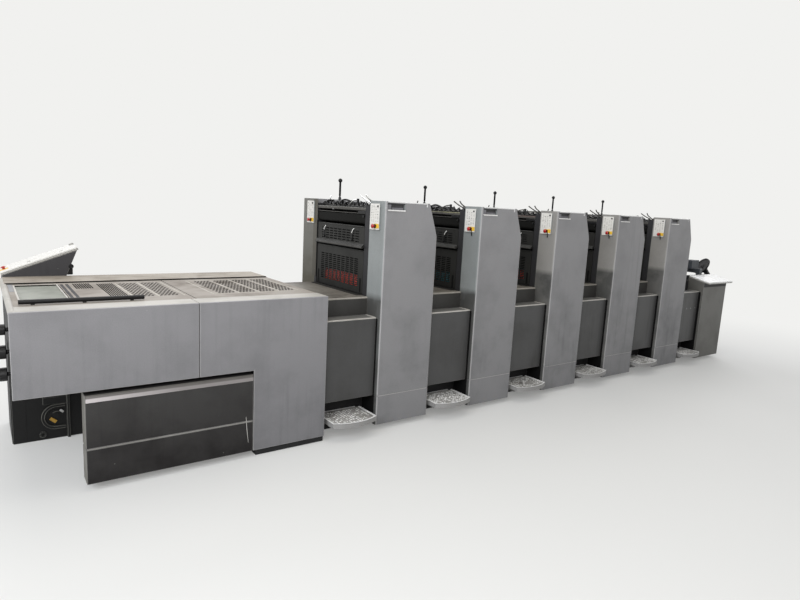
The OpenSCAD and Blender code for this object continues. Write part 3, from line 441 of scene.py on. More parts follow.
# Inking unit: a curved black hood, a cast cross bar with a pale rail, the blade trough and its keys.
# Clamping levers hold the trough, chromed on the first unit; black hoses lie across the top.
# Chrome mirrors the pale studio, cast iron stays dull grey, and moulded black plastic has a soft sheen.
BAY_Y0, BAY_Y1 = 218, 852
BAR_Z0, BAR_Z1, BAR_X1 = 1371, 1387, 30
KEY_COUNT, KEY_X, KEY_TILT = 12, 48, math.radians(14)
hood_enamel = finish("black hood enamel", "0d0d0b", "080807", rough=0.55, streak=0.2, low=0.0, chips=0.2,
                     bare="4a4945", shine=0.1)
casting = finish("grey casting enamel", "4d4b47", "2b2a27", rough=0.5, streak=0.6, low=0.0, shine=0.35)
chrome = finish("chrome-plated steel", "d3d3d1", "9a9996", rough=0.14, streak=0.2, low=0.0, metallic=1.0)
black_plastic = finish("moulded black plastic", "121213", "0a0a0a", rough=0.36, streak=0.1, low=0.0,
                       chips=0.2, bare="3c3c3a", shine=0.3)
random.seed(11)
RAIL_FINISHES = [finish(f"worn rail, unit {i + 1}", colour, "3c3a35", rough=0.45, streak=0.8, low=0.0)
                 for i, colour in enumerate(("5f5e59", "77755a", "64544f", "4f4e4a", "4b4a47"))]
softened("roller_hoods", 1.5, [hood_enamel])
softened("ink_fountains", 1.0, [casting])

caps, rods, blades = bmesh.new(), bmesh.new(), bmesh.new()
for i in range(UNITS):
    x = i * PITCH
    rail = bmesh.new()
    block(rail, (x + 1, BAY_Y0 + 2, BAR_Z1 - 5), (x + BAR_X1 + 1, BAY_Y1 - 2, BAR_Z1 + 2), 2, 3)
    new_piece(f"fountain_rail_{i + 1}", rail, RAIL_FINISHES[i])
    block(blades, (x + 8, BAY_Y0 + 98, 1350), (x + 13, BAY_Y1 - 4, 1355), 1.5)
    block(caps, (x + 78, BAY_Y0 + 14, BAR_Z1 + 2), (x + 118, BAY_Y1 - 14, BAR_Z1 + 26), 6, 3)
    block(caps, (x + 84, BAY_Y0 + 180, BAR_Z1 + 20), (x + 116, BAY_Y1 - 60, BAR_Z1 + 40), 9, 3)
    block(caps, (x + 3, BAY_Y0 + 4, 1347), (x + 44, BAY_Y0 + 98, 1369), 5, 3)
    rod(caps, (x + 2, BAY_Y0 + 16, 1334), (x - 7, BAY_Y0 + 16, 1334), 9, edge=2)
    rod(rods, (x + 4, BAY_Y1 - 220, 1370), (x - 3, BAY_Y1 - 220, 1370), 6, 12, 4)
    block(caps, (x + 32, BAY_Y0 + 14, BAR_Z1 + 2), (x + 44, BAY_Y1 - 14, BAR_Z1 + 12), 2)
    for k in range(KEY_COUNT):
        y = BAY_Y0 + (k + 0.5) * (BAY_Y1 - BAY_Y0) / KEY_COUNT
        top = Vector((KEY_X + x + math.sin(KEY_TILT) * 34, y, BAR_Z0 + 7 + math.cos(KEY_TILT) * 34))
        tip = top + Vector((math.sin(KEY_TILT) * 9, 0, math.cos(KEY_TILT) * 9))
        rod(caps, tuple(top - Vector((5, 0, 20))), tuple(tip), 11, 12, edge=2)
        reach = Vector((random.uniform(-22, 4), random.uniform(-14, 14), random.uniform(2, 16)))
        rod(caps, tuple(tip), tuple(tip + reach), 3, 8, edge=0.8)
new_piece("fountain_blades", blades, casting)
new_piece("fountain_caps", caps, black_plastic)
new_piece("fountain_rods", rods, steel)


ROD_ROUNDING, ROD_STEPS = 4, 6


def bent_rod(name, paths, radius, material, body="press"):
    curve = bpy.data.curves.new(name, "CURVE")
    curve.dimensions = "3D"
    curve.bevel_depth = radius / 1000
    curve.bevel_resolution = ROD_ROUNDING
    curve.resolution_u = ROD_STEPS
    curve.use_fill_caps = True
    for path in paths:
        spline = curve.splines.new("NURBS")
        spline.points.add(len(path) - 1)
        for point, place in zip(spline.points, path):
            point.co = (*at(*place), 1.0)
        spline.use_endpoint_u = True
        spline.order_u = 3
    shape = bpy.data.objects.new(name, curve)
    bpy.context.scene.collection.objects.link(shape)
    bm = bmesh.new()
    bm.from_mesh(bpy.data.meshes.new_from_object(shape))
    bpy.data.objects.remove(shape)
    bmesh.ops.remove_doubles(bm, verts=bm.verts, dist=1e-6)
    return new_piece(name, bm, material, body)


bright_clamps, dull_clamps, hoses, grips = [], [], [], bmesh.new()
for i in range(UNITS):
    x = i * PITCH
    clamps = dull_clamps if i else bright_clamps
    clamps.append([(x + 96, BAY_Y0 + 6, 1408), (x + 60, BAY_Y0 + 22, 1432), (x + 34, BAY_Y0 + 34, 1450),
                   (x + 22, BAY_Y0 + 36, 1470)])
    clamps.append([(x + 58, BAY_Y0 + 26, 1420), (x + 36, BAY_Y0 + 66, 1440), (x + 20, BAY_Y0 + 96, 1466)])
    clamps.append([(x + 96, BAY_Y1 - 8, 1410), (x + 84, BAY_Y1 - 12, 1436), (x + 96, BAY_Y1 - 14, 1462)])
    clamps.append([(x + 40, 480, 1402), (x + 24, 440, 1418), (x + 20, 400, 1434), (x + 20, 352, 1437)])
    rod(grips, (x + 20, 346, 1418), (x + 20, 346, 1444), 9, 16, edge=2)
    for y in (520, 585, 668, 742, 800):
        lean, rise = random.uniform(-30, 30), random.uniform(0, 22)
        hoses.append([(x + 60, y, 1384), (x + 22, y + lean, 1396 + rise / 2),
                      (x + 30, y + lean, 1408 + rise), (x + 76, y + 20, 1412 + rise),
                      (x + 118, min(y + 40, BAY_Y1 - 20), 1392)])
    hoses.append([(x + 52, 640, 1400), (x + 40, 600 + random.uniform(-20, 20), 1426), (x + 60, 556, 1442),
                  (x + 96, 540, 1420)])
bent_rod("fountain_clamps", bright_clamps, 4.5, chrome)
bent_rod("dull_fountain_clamps", dull_clamps, 4.5, casting)
bent_rod("fountain_hoses", hoses, 5.5, black_plastic)
new_piece("clamp_grips", grips, black_plastic)

# Inking rollers: rubber-covered steel, wet with black ink, carried in both walls.
# Blanket cylinders: steel bodies with polished bearer rings, a coloured rubber blanket between them
# and a clamping bar sunk in the channel. Rubber looks matt and even, the ground rings mirror the room.
CYL_X, CYL_Z, CYL_R = 122, 897, 75
JOURNAL_R, JOURNAL_TRIM = 25, 0.03
RING_W, CHANNEL_TURN = 30.5, math.radians(40)
roller_rubber = finish("inked roller rubber", "141416", "0c0c0d", rough=0.45, streak=0.2, low=0.0, chips=0.0,
                       shine=0.2)
bearer_steel = finish("polished bearer ring", "a9a9a8", "6e6d6a", rough=0.2, streak=0.3, low=0.0,
                      metallic=1.0)
blanket_red = finish("red blanket rubber", "f4584a", "c93f34", rough=0.6, streak=0.3, low=0.0, chips=0.0)
blanket_teal = finish("blue-green blanket rubber", "4b95a0", "33707a", rough=0.6, streak=0.3, low=0.0,
                      chips=0.0)
softened("inking_rollers", 1.0, [roller_rubber])
BLANKETS = {1: (blanket_red, "blanket_red"), 2: (blanket_teal, "blanket_teal"),
            3: (blanket_red, "blanket_red")}


def ring_or_blanket(face, is_rounded):
    y = mm(face.calc_center_median()).y
    return 1 if y < BAY_Y0 + RING_W or y > BAY_Y1 - RING_W else 0


def slimmer_journals(bm):
    for vert in bm.verts:
        x = (mm(vert.co).x - CYL_X) % PITCH
        off = Vector((min(x, x - PITCH, key=abs) / 1000, 0, vert.co.z - CYL_Z / 1000))
        if off.length < 1.05 * JOURNAL_R / 1000:
            vert.co -= off * JOURNAL_TRIM


for i in range(1, UNITS + 1):
    cover, slot = BLANKETS.get(i, (roller_rubber, "blanket_dark"))
    softened(f"blanket_cylinder_{i}", 0.8, [cover, bearer_steel], f"blanket_cylinder_{i}",
             choose=ring_or_blanket, trim=slimmer_journals)
    turn = (Matrix.Translation(at((i - 1) * PITCH + CYL_X, 0, CYL_Z))
            @ Matrix.Rotation(CHANNEL_TURN, 4, "Y"))
    bar = bmesh.new()
    block(bar, (-6, BAY_Y0 + 46, -CYL_R + 8), (6, BAY_Y1 - 46, -CYL_R + 18), 1.5, place=turn)
    for k in range(9):
        y = BAY_Y0 + 80 + k * 59
        rod(bar, (0, y, -CYL_R + 9), (0, y, -CYL_R + 5), 4, 6, place=turn)
    new_piece(f"clamp_bar_{i}", bar, steel, f"blanket_cylinder_{i}")

# Guards: slotted dark sheet hung on hinge pins, the upper one ending in a lip that stands out.
# A rolled lip stiffens each row of slots; bright hooks and black straps hold the wash-up tray.
# A black sheet screwed behind the lower grille is painted shade inside the unit, so only the blanket shows
# under it.
GUARD_X, LIP_Z, GRILLE_Y0, GRILLE_Y1 = 2, 1130, 282, 788
SHADE_SHEET_Z0, SHADE_SHEET_Z1 = 953, 1120
GRILLES = {"lower_guard": (883, 1063, 14), "upper_guard": (1168, 1242, 5)}
SLOT_H, LIP_T = 8, 1.3
HOOK_Y, SLIT_Y, SLIT_Z0, SLIT_Z1, SLIT_HALF = (734, 358), (253, 817), 848, 940, 8
# The guards' coat darkens towards its lower edge as painted shade, and the lip's front face is paler as
# painted highlight.
guard_enamel_low_shade = finish("dark guard enamel with painted shade low", "2a2a28", "161614", rough=0.5, streak=0.4, low=0.55,
                      low_from=0.84, low_top=1.0, shine=0.2)
guard_lip_highlight = finish("painted highlight on the guard lip", "42413e", "2b2a28", rough=0.45, streak=0.6, low=0.0, shine=0.3)
slot_shade = finish("painted shade in slots", "0c0c0b", "080807", rough=0.8, low=0.0, chips=0.0, shine=0.05)
hook_wire = finish("bright hook wire", "e6e6e2", "b4b4b0", rough=0.3, streak=0.2, low=0.0, chips=0.0)


# Slot walls in the grilles are near-black: painted shade in the slots.
def guard_parts(face, is_rounded):
    centre, out = mm(face.calc_center_median()), face.normal
    if LIP_Z - 2 < centre.z < LIP_Z + 16 and out.x < -0.85:
        return 1
    if GRILLE_Y0 - 40 < centre.y < GRILLE_Y1 + 40 and abs(out.x) < 0.5 and not 1114 < centre.z < 1166:
        return 2 if 848 < centre.z < 1245 else 0
    return 0


for i in range(1, UNITS + 1):
    x = (i - 1) * PITCH + GUARD_X
    for guard, (z0, z1, rows) in GRILLES.items():
        softened(f"{guard}_{i}", 0.6, [guard_enamel_low_shade, guard_lip_highlight, slot_shade], f"{guard}_{i}",
                 segments=1, choose=guard_parts)
        slot_lips = bmesh.new()
        for row in range(rows):
            z = z0 + SLOT_H + row * (z1 - z0 - SLOT_H) / (rows - 1)
            block(slot_lips, (x - 0.3, GRILLE_Y0 + 2, z - LIP_T), (x + 0.7, GRILLE_Y1 - 2, z), 0.2, 1)
        new_piece(f"{guard}_slot_lips_{i}", slot_lips, guard_enamel_low_shade, f"{guard}_{i}")
    hooks = []
    straps, studs = bmesh.new(), bmesh.new()
    for y in HOOK_Y:
        hooks.append([(x - 1, y - 9, 1251), (x - 6, y - 6, 1248), (x - 7, y + 4, 1236),
                      (x - 6, y + 12, 1223), (x - 1, y + 14, 1221)])
        block(straps, (x - 4, y + 8, 1182), (x + 0.5, y + 17, 1224), 1.5)
        block(straps, (x - 8, y + 6, 1173), (x + 0.5, y + 19, 1184), 1.5)
    rod(studs, (x - 10, BAY_Y1 - 46, LIP_Z + 8), (x - 19, BAY_Y1 - 46, LIP_Z + 12), 7, 14, edge=2)
    block(studs, (x - 17, BAY_Y0 + 8, LIP_Z + 1), (x - 6, BAY_Y0 + 26, LIP_Z + 18), 2.5)
    bent_rod(f"guard_hooks_{i}", hooks, 2.8, hook_wire, f"upper_guard_{i}")
    new_piece(f"guard_straps_{i}", straps, black_plastic, f"upper_guard_{i}")
    new_piece(f"guard_studs_{i}", studs, black_plastic, f"upper_guard_{i}")
    slits, shade_sheet = bmesh.new(), bmesh.new()
    for y in SLIT_Y:
        block(slits, (x - 1.2, y - SLIT_HALF, SLIT_Z0), (x + 2, y + SLIT_HALF, SLIT_Z1), 1)
    new_piece(f"guard_slits_{i}", slits, black_rubber_and_shade, f"lower_guard_{i}")
    block(shade_sheet, (x + 33, BAY_Y0 + 2, SHADE_SHEET_Z0), (x + 36, BAY_Y1 - 2, SHADE_SHEET_Z1), 1)
    for y in (BAY_Y0 + 20, BAY_Y1 - 20):
        rod(shade_sheet, (x + 32, y, SHADE_SHEET_Z0 + 16), (x + 30, y, SHADE_SHEET_Z0 + 16), 6, 12, 4.5)
    new_piece(f"inner_shade_sheet_{i}", shade_sheet, slot_shade)

# Ball-knob levers: black plastic balls on steel rods, each pinned between two ears of the far wall.
# A rubber sleeve is pushed over the rod above the tapered boot of the hub.
LEVER_X, LEVER_Y, SLEEVE_R = 183, 865.5, 7.5
for i in range(1, UNITS + 1):
    softened(f"lever_{i}", 0.3, [black_plastic], f"lever_{i}")
    sleeve = bmesh.new()
    x = (i - 1) * PITCH + LEVER_X
    rod(sleeve, (x, LEVER_Y, 1462), (x, LEVER_Y, 1562), SLEEVE_R, 16, edge=1.5)
    new_piece(f"lever_sleeve_{i}", sleeve, black_rubber_and_shade, f"lever_{i}")

# Foot platforms and gap panels: folded sheet between the towers, the treads worn to bare metal.
# The panels below are dark enamel with a bright folded ledge along their front edge.
PLATFORM_Z, GAP_BACK = 835, 42
worn_sheet = finish("worn beige platform sheet", "6b675f", "433e37", rough=0.5, streak=1.0, low=0.0,
                    shine=0.3, bare="c9c5bb", wipe_mm=60, wipe_long_mm=60)
riser_shade = finish("painted shade on platform risers", "383735", "252423", rough=0.5, streak=0.4, low=0.0, shine=0.4)
bright_edge = finish("bright worn edge", "b7b4ad", "85817a", rough=0.38, streak=0.5, low=0.0)
platform_edge_wear_highlight = finish("worn platform edge with painted highlight", "97938b", "6a665f", rough=0.42, streak=0.6, low=0.0)
ledge_enamel = finish("worn grey ledge", "6e6d6a", "4d4b48", rough=0.42, streak=0.5, low=0.0)
gutter_rubber = finish("dusty gutter rubber", "232220", "161514", rough=0.7, streak=0.5, low=0.0,
                       chips=0.0, shine=0.15)
panel_enamel = finish("dark gap panel enamel", "424242", "323130", rough=0.42, streak=0.5, low=0.25)


# Risers take a dark colour as painted shade; bevels and front edges take the paler edge colour, wear and
# painted highlight.
def platform_parts(face, is_rounded):
    centre = mm(face.calc_center_median())
    if is_rounded or (centre.y < TOWER_D - 4 and centre.z > PLATFORM_Z - 8):
        return 2
    return 1 if centre.z < PLATFORM_Z - 14 else 0


def ledge_parts(face, is_rounded):
    return 2 if mm(face.calc_center_median()).z > GAP_TOP - 2 else 1 if is_rounded else 0


softened("platforms", 1.5, [worn_sheet, riser_shade, platform_edge_wear_highlight],
         choose=platform_parts)
softened("gap_panels", 2.0, [panel_enamel, dark_edge_wear_highlight, ledge_enamel], choose=ledge_parts)
FIRST_GAP, LAST_GAP = 365, 354
GAPS = [(-FIRST_GAP, FIRST_GAP)] + [(i * PITCH + TOWER_W, PITCH - TOWER_W if i < UNITS - 1 else LAST_GAP)
                                    for i in range(UNITS)]
ledges, panel_dots, gutters = bmesh.new(), bmesh.new(), bmesh.new()
for i in range(UNITS):
    block(gutters, (i * PITCH - 42, 220, PLATFORM_Z - 1), (i * PITCH + 1, 850, PLATFORM_Z + 2.5), 1)
new_piece("platform_gutters", gutters, gutter_rubber)
for x0, width in GAPS:
    block(ledges, (x0 + 2, GAP_BACK - 1.5, GAP_TOP - 8), (x0 + width - 2, GAP_BACK + 5, GAP_TOP + 1), 2, 3)
    block(ledges, (x0 + width - 22, GAP_BACK + 3, GAP_TOP - 2), (x0 + width - 2, 138, GAP_TOP + 1), 1)
for x in (3716, 3789, 3875):
    rod(panel_dots, (x, GAP_BACK + 1, 556), (x, GAP_BACK - 2, 556), 6, 14, edge=1)
new_piece("gap_ledges", ledges, bright_edge)
new_piece("gap_panel_studs", panel_dots, steel)

# Foot steps: cast aluminium plates with a bright bowed rim and a chequered tread, dirty in the hollows.
STEP_Z, STEP_OUT, STEP_SIDE, BOW, STEP_RIM = 121, 95, 29, 42, 12
step_metal = finish("dirty cast tread", "a5a39e", "514e49", rough=0.5, streak=1.0, low=0.0, wipe_mm=25,
                    wipe_long_mm=25)
step_side = finish("dull cast side", "8b8a88", "6f6d6a", rough=0.5, streak=0.3, low=0.0)
step_rim = finish("bright cast rim", "ecece9", "bcbab5", rough=0.35, streak=0.3, low=0.0)
step_stud = finish("rubbed tread lozenges", "f4f3f0", "a19f99", rough=0.35, streak=1.0, low=0.0, wipe_mm=18,
                   wipe_long_mm=18)
dull_stud = finish("dirty tread lozenges", "9d9b96", "64615b", rough=0.45, streak=1.0, low=0.0)


def step_parts(face, is_rounded):
    z = mm(face.calc_center_median()).z
    return 2 if z > STEP_Z - 2.2 else 0 if z > STEP_Z - 3.5 and face.normal.z > 0.9 else 1


softened("foot_steps", 2.0, [step_metal, step_side, step_rim], choose=step_parts)
LOZENGE_STEP, LOZENGE_LONG, LOZENGE_WIDE, LOZENGE_TALL, RUBBED_SHARE = 19, 20, 9, 2.4, 0.62
random.seed(7)
for g, (x0, width) in enumerate(GAPS):
    wide = width - 2 * STEP_SIDE
    bow_radius = (wide * wide / 4 + BOW * BOW) / (2 * BOW)
    tread, dull_tread = bmesh.new(), bmesh.new()
    for row in range(int((TOWER_D + STEP_OUT - 40) / LOZENGE_STEP)):
        for col in range(int(wide / LOZENGE_STEP)):
            x = STEP_RIM + (col + 0.6) * LOZENGE_STEP
            y = STEP_RIM - STEP_OUT + (row + 0.7) * LOZENGE_STEP
            from_centre = math.hypot(x - wide / 2, y - (bow_radius - STEP_OUT))
            if from_centre > bow_radius - STEP_RIM - 9 or x > wide - STEP_RIM - 9 or y > TOWER_D - 42:
                continue
            slant = math.radians((45 if (row + col) % 2 else -45) + random.uniform(-6, 6))
            matrix = (Matrix.Translation(at(x0 + STEP_SIDE + x, y, STEP_Z - 3 + LOZENGE_TALL / 2))
                      @ Matrix.Rotation(slant, 4, "Z")
                      @ Matrix.Diagonal((LOZENGE_LONG * random.uniform(0.75, 1.1) / 1000,
                                         LOZENGE_WIDE * random.uniform(0.7, 1.3) / 1000,
                                         LOZENGE_TALL / 1000, 1)))
            target = tread if random.random() < RUBBED_SHARE else dull_tread
            bmesh.ops.create_cone(target, cap_ends=True, segments=4, radius1=0.5, radius2=0.3, depth=1.0,
                                  matrix=matrix)
    new_piece(f"chequer_tread_{g}", tread, step_stud, sharp_deg=10)
    new_piece(f"dull_tread_{g}", dull_tread, dull_stud, sharp_deg=10)

# Keypads: white membrane films with rows of plain keys, a yellow plate and a red stop button.
# The button stands on a dark collar; the far pads are the same on the drive-side towers.
# Printed film is smooth, pale and a little glossy, and moulded buttons are glossier.
PAD_Z0, PAD_Z1, PAD_T, STOP_IN, STOP_UP = 1260, 1418, 9, 65, 22
PADS = ((47, 150), (898, 1001))
KEY_ROWS, KEY_COLS = 10, 4
keypad_film = finish("white keypad film", "dddbd5", "c3c0b8", rough=0.35, streak=0.2, low=0.0, chips=0.0)
key_grey = finish("printed grey keys", "b9b7af", "99978f", rough=0.4, streak=0.3, low=0.0, chips=0.0)
key_dark = finish("printed dark keys", "7d7b75", "5e5d58", rough=0.4, streak=0.3, low=0.0, chips=0.0)
yellow_plate = finish("yellow plate", "e8bb3a", "b98f2c", rough=0.4, streak=0.2, low=0.0, chips=0.0)
stop_plastic = finish("red stop button plastic", "a31813", "71110e", rough=0.3, streak=0.1, low=0.0,
                      chips=0.0)


def pad_parts(face, is_rounded):
    return 0 if face.normal.x < -0.5 else 1


softened("keypads", 1.0, [keypad_film, cover_side_reflection_and_shade], choose=pad_parts)
softened("stop_buttons", 0.4, [stop_plastic])
keys_light, keys_dark, plates, collars, tails = (bmesh.new() for _ in range(5))
for i in range(UNITS):
    x = i * PITCH - PAD_T
    for y0, y1 in PADS:
        for row in range(KEY_ROWS):
            for col in range(KEY_COLS):
                y = y0 + 12 + col * 22
                z = PAD_Z1 - 14 - row * 10
                wide = random.choice((8, 11, 13))
                target = keys_dark if random.random() < 0.2 else keys_light
                if random.random() < 0.85:
                    block(target, (x - 0.7, y, z - 4), (x + 0.5, y + wide, z), 0.3, 1)
        block(plates, (x - 2.5, y0 + 1, PAD_Z0 + 9), (x + 0.5, y0 + 58, PAD_Z0 + 36), 1.2)
        y_stop, z_stop = y1 - STOP_IN, PAD_Z0 + STOP_UP
        rod(collars, (x - 2, y_stop, z_stop), (x - 11, y_stop, z_stop), 12, 24, edge=1.5)
        rod(collars, (x - 0.5, y0 + 18, PAD_Z1 - 16), (x - 4, y0 + 18, PAD_Z1 - 16), 6.5, 16, edge=1)
    if i:
        y = PADS[0][1] - STOP_IN - 12
        rod(tails, (x - 3, y + 4, PAD_Z0 + 16), (x - 1, y, PAD_Z0 - 26), 3, 10, edge=1)
new_piece("keypad_keys", keys_light, key_grey)
new_piece("keypad_dark_keys", keys_dark, key_dark)
new_piece("keypad_plates", plates, yellow_plate)
new_piece("stop_collars", collars, black_plastic)
new_piece("stop_cables", tails, black_rubber_and_shade)

# Delivery: sheet panels hung on a dark frame, two low kick boxes and the plate beside the pile.
# The right panel reaches to the floor; a metal strip runs along the kick boxes' top edge.
# A painted glint lightens the strip's lower part, strongest at its delivery end.
DELIV_LEFT, DELIV_SEAM, DELIV_TOP = -1894, -1096, 878
GLINT_X0, GLINT_X1, GLINT_Z0, GLINT_Z1 = -1600, -1180, 454, 458
KICK_LEFT, KICK_RIGHT, KICK_TOP, KICK_JOINT = -1620, -808, 471, 208
PLATE_Y = 771
pile_black = finish("black pile plate", "141414", "0c0c0b", rough=0.4, streak=0.2, low=0.2, chips=0.3,
                    bare="55554f", shine=0.25)
pile_edge_wear_highlight = finish("rubbed black edges with painted highlight", "4a4a45", "2a2a27", rough=0.4, streak=0.5, low=0.0)
# The kick boxes' coat turns much darker towards the bottom: painted shade.
kick_enamel_low_shade = finish("dark kick box enamel with painted shade low", "3c3b3a", "211f1f", rough=0.45, streak=0.4, low=0.9,
                     low_top=0.42, shine=0.15)
kick_side = finish("grey kick box side", "73716b", "55524b", rough=0.45, streak=0.8)
strip_metal_glint = finish("grey metal strip with painted glint", "56534f", "403d39", rough=0.38, streak=0.6, low=0.0, wipe_mm=300,
                     wipe_long_mm=12)
strip_shade = finish("dull strip edge", "57544f", "403d39", rough=0.45, streak=0.5, low=0.0)
joint_metal = finish("grey joint strip", "83817d", "605d59", rough=0.4, streak=0.6, low=0.0)
panel_coat = finish("wiped grey panel enamel", "828183", "5c5c5e", streak=0.32, low=0.6, low_top=0.8,
                    wipe_mm=26, wipe_long_mm=620)
paint("delivery_frame", frame_enamel)
softened("delivery_panels", 2.5, [panel_coat, cover_edge_wear_highlight], segments=3, choose=worn_and_highlit_edges)


def kick_parts(face, is_rounded):
    return 2 if face.normal.x < -0.9 else 1 if is_rounded else 0


softened("kick_panels", 3.0, [kick_enamel_low_shade, dark_edge_wear_highlight, kick_side], choose=kick_parts)
softened("pile_side_plate", 1.5, [pile_black, pile_edge_wear_highlight], choose=worn_and_highlit_edges)
strips, shades, panel_seal, scratch, joint = (bmesh.new() for _ in range(5))
block(strips, (KICK_LEFT + 4, -3, KICK_TOP - 35), (KICK_RIGHT - 1, 3, KICK_TOP - 4), 1.5)
block(joint, (KICK_LEFT + 3, -2, KICK_JOINT - 2), (KICK_RIGHT - 1, 3, KICK_JOINT + 4), 1)
block(shades, (KICK_LEFT + 4, -1.5, KICK_TOP - 6), (KICK_RIGHT - 1, 4, KICK_TOP + 1), 1)
block(panel_seal, (DELIV_SEAM - 1.2, 3, 494), (DELIV_SEAM + 1.2, 13, DELIV_TOP - 2), 0.3)
rod(scratch, (-848, 0.6, 237), (-843, 0.6, 170), 1.6, 8, end_radius=2.2)
rod(scratch, (-843, 0.6, 172), (-834, 0.6, 89), 2.2, 8, end_radius=1.2)
glint_tree = strip_metal_glint.node_tree
glint_shader = glint_tree.nodes["Principled BSDF"]
strip_colour = glint_shader.inputs["Base Color"].links[0].from_socket
glint_place = add(glint_tree, "ShaderNodeSeparateXYZ",
                  {"Vector": add(glint_tree, "ShaderNodeTexCoord").outputs["Object"]})
along = add(glint_tree, "ShaderNodeMapRange", {"Value": glint_place.outputs["X"],
                                               "From Min": at(GLINT_X0, 0, 0).x,
                                               "From Max": at(GLINT_X1, 0, 0).x,
                                               "To Min": 0.8, "To Max": 0.28})
below = add(glint_tree, "ShaderNodeMapRange", {"Value": glint_place.outputs["Z"],
                                               "From Min": GLINT_Z0 / 1000, "From Max": GLINT_Z1 / 1000,
                                               "To Min": 1.0, "To Max": 0.12})
glint = add(glint_tree, "ShaderNodeMath", {0: along.outputs[0], 1: below.outputs[0]}, operation="MULTIPLY")
glinted = add(glint_tree, "ShaderNodeMix", {0: glint.outputs[0], 6: strip_colour, 7: linear("cdc6c6")},
              data_type="RGBA")
glint_tree.links.new(glinted.outputs[2], glint_shader.inputs["Base Color"])
new_piece("kick_strips", strips, strip_metal_glint)
new_piece("kick_strip_edge", shades, strip_shade)
new_piece("kick_joint_strip", joint, joint_metal)
new_piece("kick_scratch", scratch, seam_strip)
new_piece("panel_seal", panel_seal, black_rubber_and_shade)

# Chain track beside the pile: a hub and a bent double rim on the black side plate, with two soiled
# plastic slides that guide the gripper chain; thin rails stand at the edge of the bay.
TRACK_X, TRACK_Z = -1669, 131
bay_bits, bay_rings, tag_yellow, tag_white = bmesh.new(), bmesh.new(), bmesh.new(), bmesh.new()
rod(bay_rings, (TRACK_X, PLATE_Y + 1, TRACK_Z + 6), (TRACK_X, PLATE_Y - 5, TRACK_Z + 6), 34, 32, edge=2)
rod(bay_rings, (TRACK_X, PLATE_Y - 4, TRACK_Z + 6), (TRACK_X, PLATE_Y - 9, TRACK_Z + 6), 18, 24, edge=2)
rod(bay_rings, (TRACK_X - 67, PLATE_Y, 34), (TRACK_X - 67, PLATE_Y - 4, 34), 5, 12, edge=1)
rod(bay_rings, (-1812, PLATE_Y + 0.4, 6), (-1812, PLATE_Y + 0.4, 636), 1.6, 8)


def half_ring(radius, y):
    turns = [math.radians(90 + 15 * k) for k in range(13)]
    arc = [(TRACK_X + radius * math.cos(t), y, TRACK_Z + radius * math.sin(t)) for t in turns]
    return [(TRACK_X + 44, y, TRACK_Z + radius)] + arc + [(TRACK_X + 44, y, TRACK_Z - radius)]


track_lines = [half_ring(72, PLATE_Y - 12), half_ring(58, PLATE_Y - 12)]
track_lines.append([(TRACK_X - 16, PLATE_Y - 7, TRACK_Z + 22), (TRACK_X - 2, PLATE_Y - 8, TRACK_Z + 32),
                    (TRACK_X + 14, PLATE_Y - 7, TRACK_Z + 28)])
track_lines.append([(TRACK_X - 84, PLATE_Y - 11, 30), (TRACK_X - 74, PLATE_Y - 11, 18),
                    (TRACK_X - 58, PLATE_Y - 11, 20), (TRACK_X - 51, PLATE_Y - 11, 32)])
block(bay_bits, (KICK_LEFT + 6, PLATE_Y - 23, 6), (KICK_LEFT + 9, PLATE_Y - 18, 630), 1)
block(bay_bits, (KICK_LEFT + 15, PLATE_Y - 22, 6), (KICK_LEFT + 17, PLATE_Y - 18, 630), 0.8)
tilt = Matrix.Translation(at(-1684, PLATE_Y - 12, 113)) @ Matrix.Rotation(math.radians(42), 4, "Y")
block(tag_yellow, (-19, -4, -9), (19, 4, 9), 1.5, place=tilt)
tilt = Matrix.Translation(at(-1641, PLATE_Y - 12, 161)) @ Matrix.Rotation(math.radians(46), 4, "Y")
block(tag_white, (-11, -4, -6), (11, 4, 6), 1.5, place=tilt)
slide_amber = finish("soiled amber slide", "b0882f", "6f5520", rough=0.45, streak=0.5, low=0.0, chips=0.0)
slide_grey = finish("soiled white slide", "b7b7b3", "7d7c78", rough=0.45, streak=0.5, low=0.0, chips=0.0)
track_rim = finish("rubbed track rim", "5c5b54", "33322e", rough=0.4, streak=0.8, low=0.0)
new_piece("bay_lines", bay_bits, pile_edge_wear_highlight)
new_piece("chain_hub", bay_rings, pile_black)
bent_rod("track_rims", track_lines, 2.2, track_rim)
new_piece("yellow_slide", tag_yellow, slide_amber)
new_piece("white_slide", tag_white, slide_grey)

# Deck: pale enamelled covers with slots and perforated fields, a sight pane over the pile, long rails.
# Bright worn borders frame the fields; a light cap ends the deck and a black bar runs along its front.
DECK_D, STRIP_D, DECK_Z = 1155, 142, 876
FIELD_X, FIELD_STEP, FIELD_LINES = -903, 122, (-939, -1094, -1223, -1345)
FIELD_Y0, FIELD_Y1, GLASS_X0, GLASS_X1, GLASS_Y0, GLASS_Y1 = 292, 797, -1832, -1627, 285, 831
deck_enamel = finish("pale worn deck enamel", "8d867d", "665e55", rough=0.5, streak=0.8, low=0.0, shine=0.2,
                     bare="c8c3b8", wipe_mm=130, wipe_long_mm=130)
hole_shade = finish("painted shade in holes and gaps", "1d1b19", "121110", rough=0.7, low=0.0, chips=0.0, shine=0.2)
rail_cream = finish("cream rail enamel", "968e82", "70685e", rough=0.5, streak=0.7, low=0.0, shine=0.2,
                    wipe_mm=110, wipe_long_mm=110)
lip_cream = finish("pale front lip", "adaaa3", "88847c", rough=0.42, streak=0.6, low=0.0, shine=0.3,
                   wipe_mm=90, wipe_long_mm=90)


# Hole walls are near-black: painted shade in the holes.
def slot_parts(face, is_rounded):
    return 0 if face.normal.z > 0.9 else 1


softened("deck_covers", 0.5, [deck_enamel, hole_shade], segments=1, choose=slot_parts)


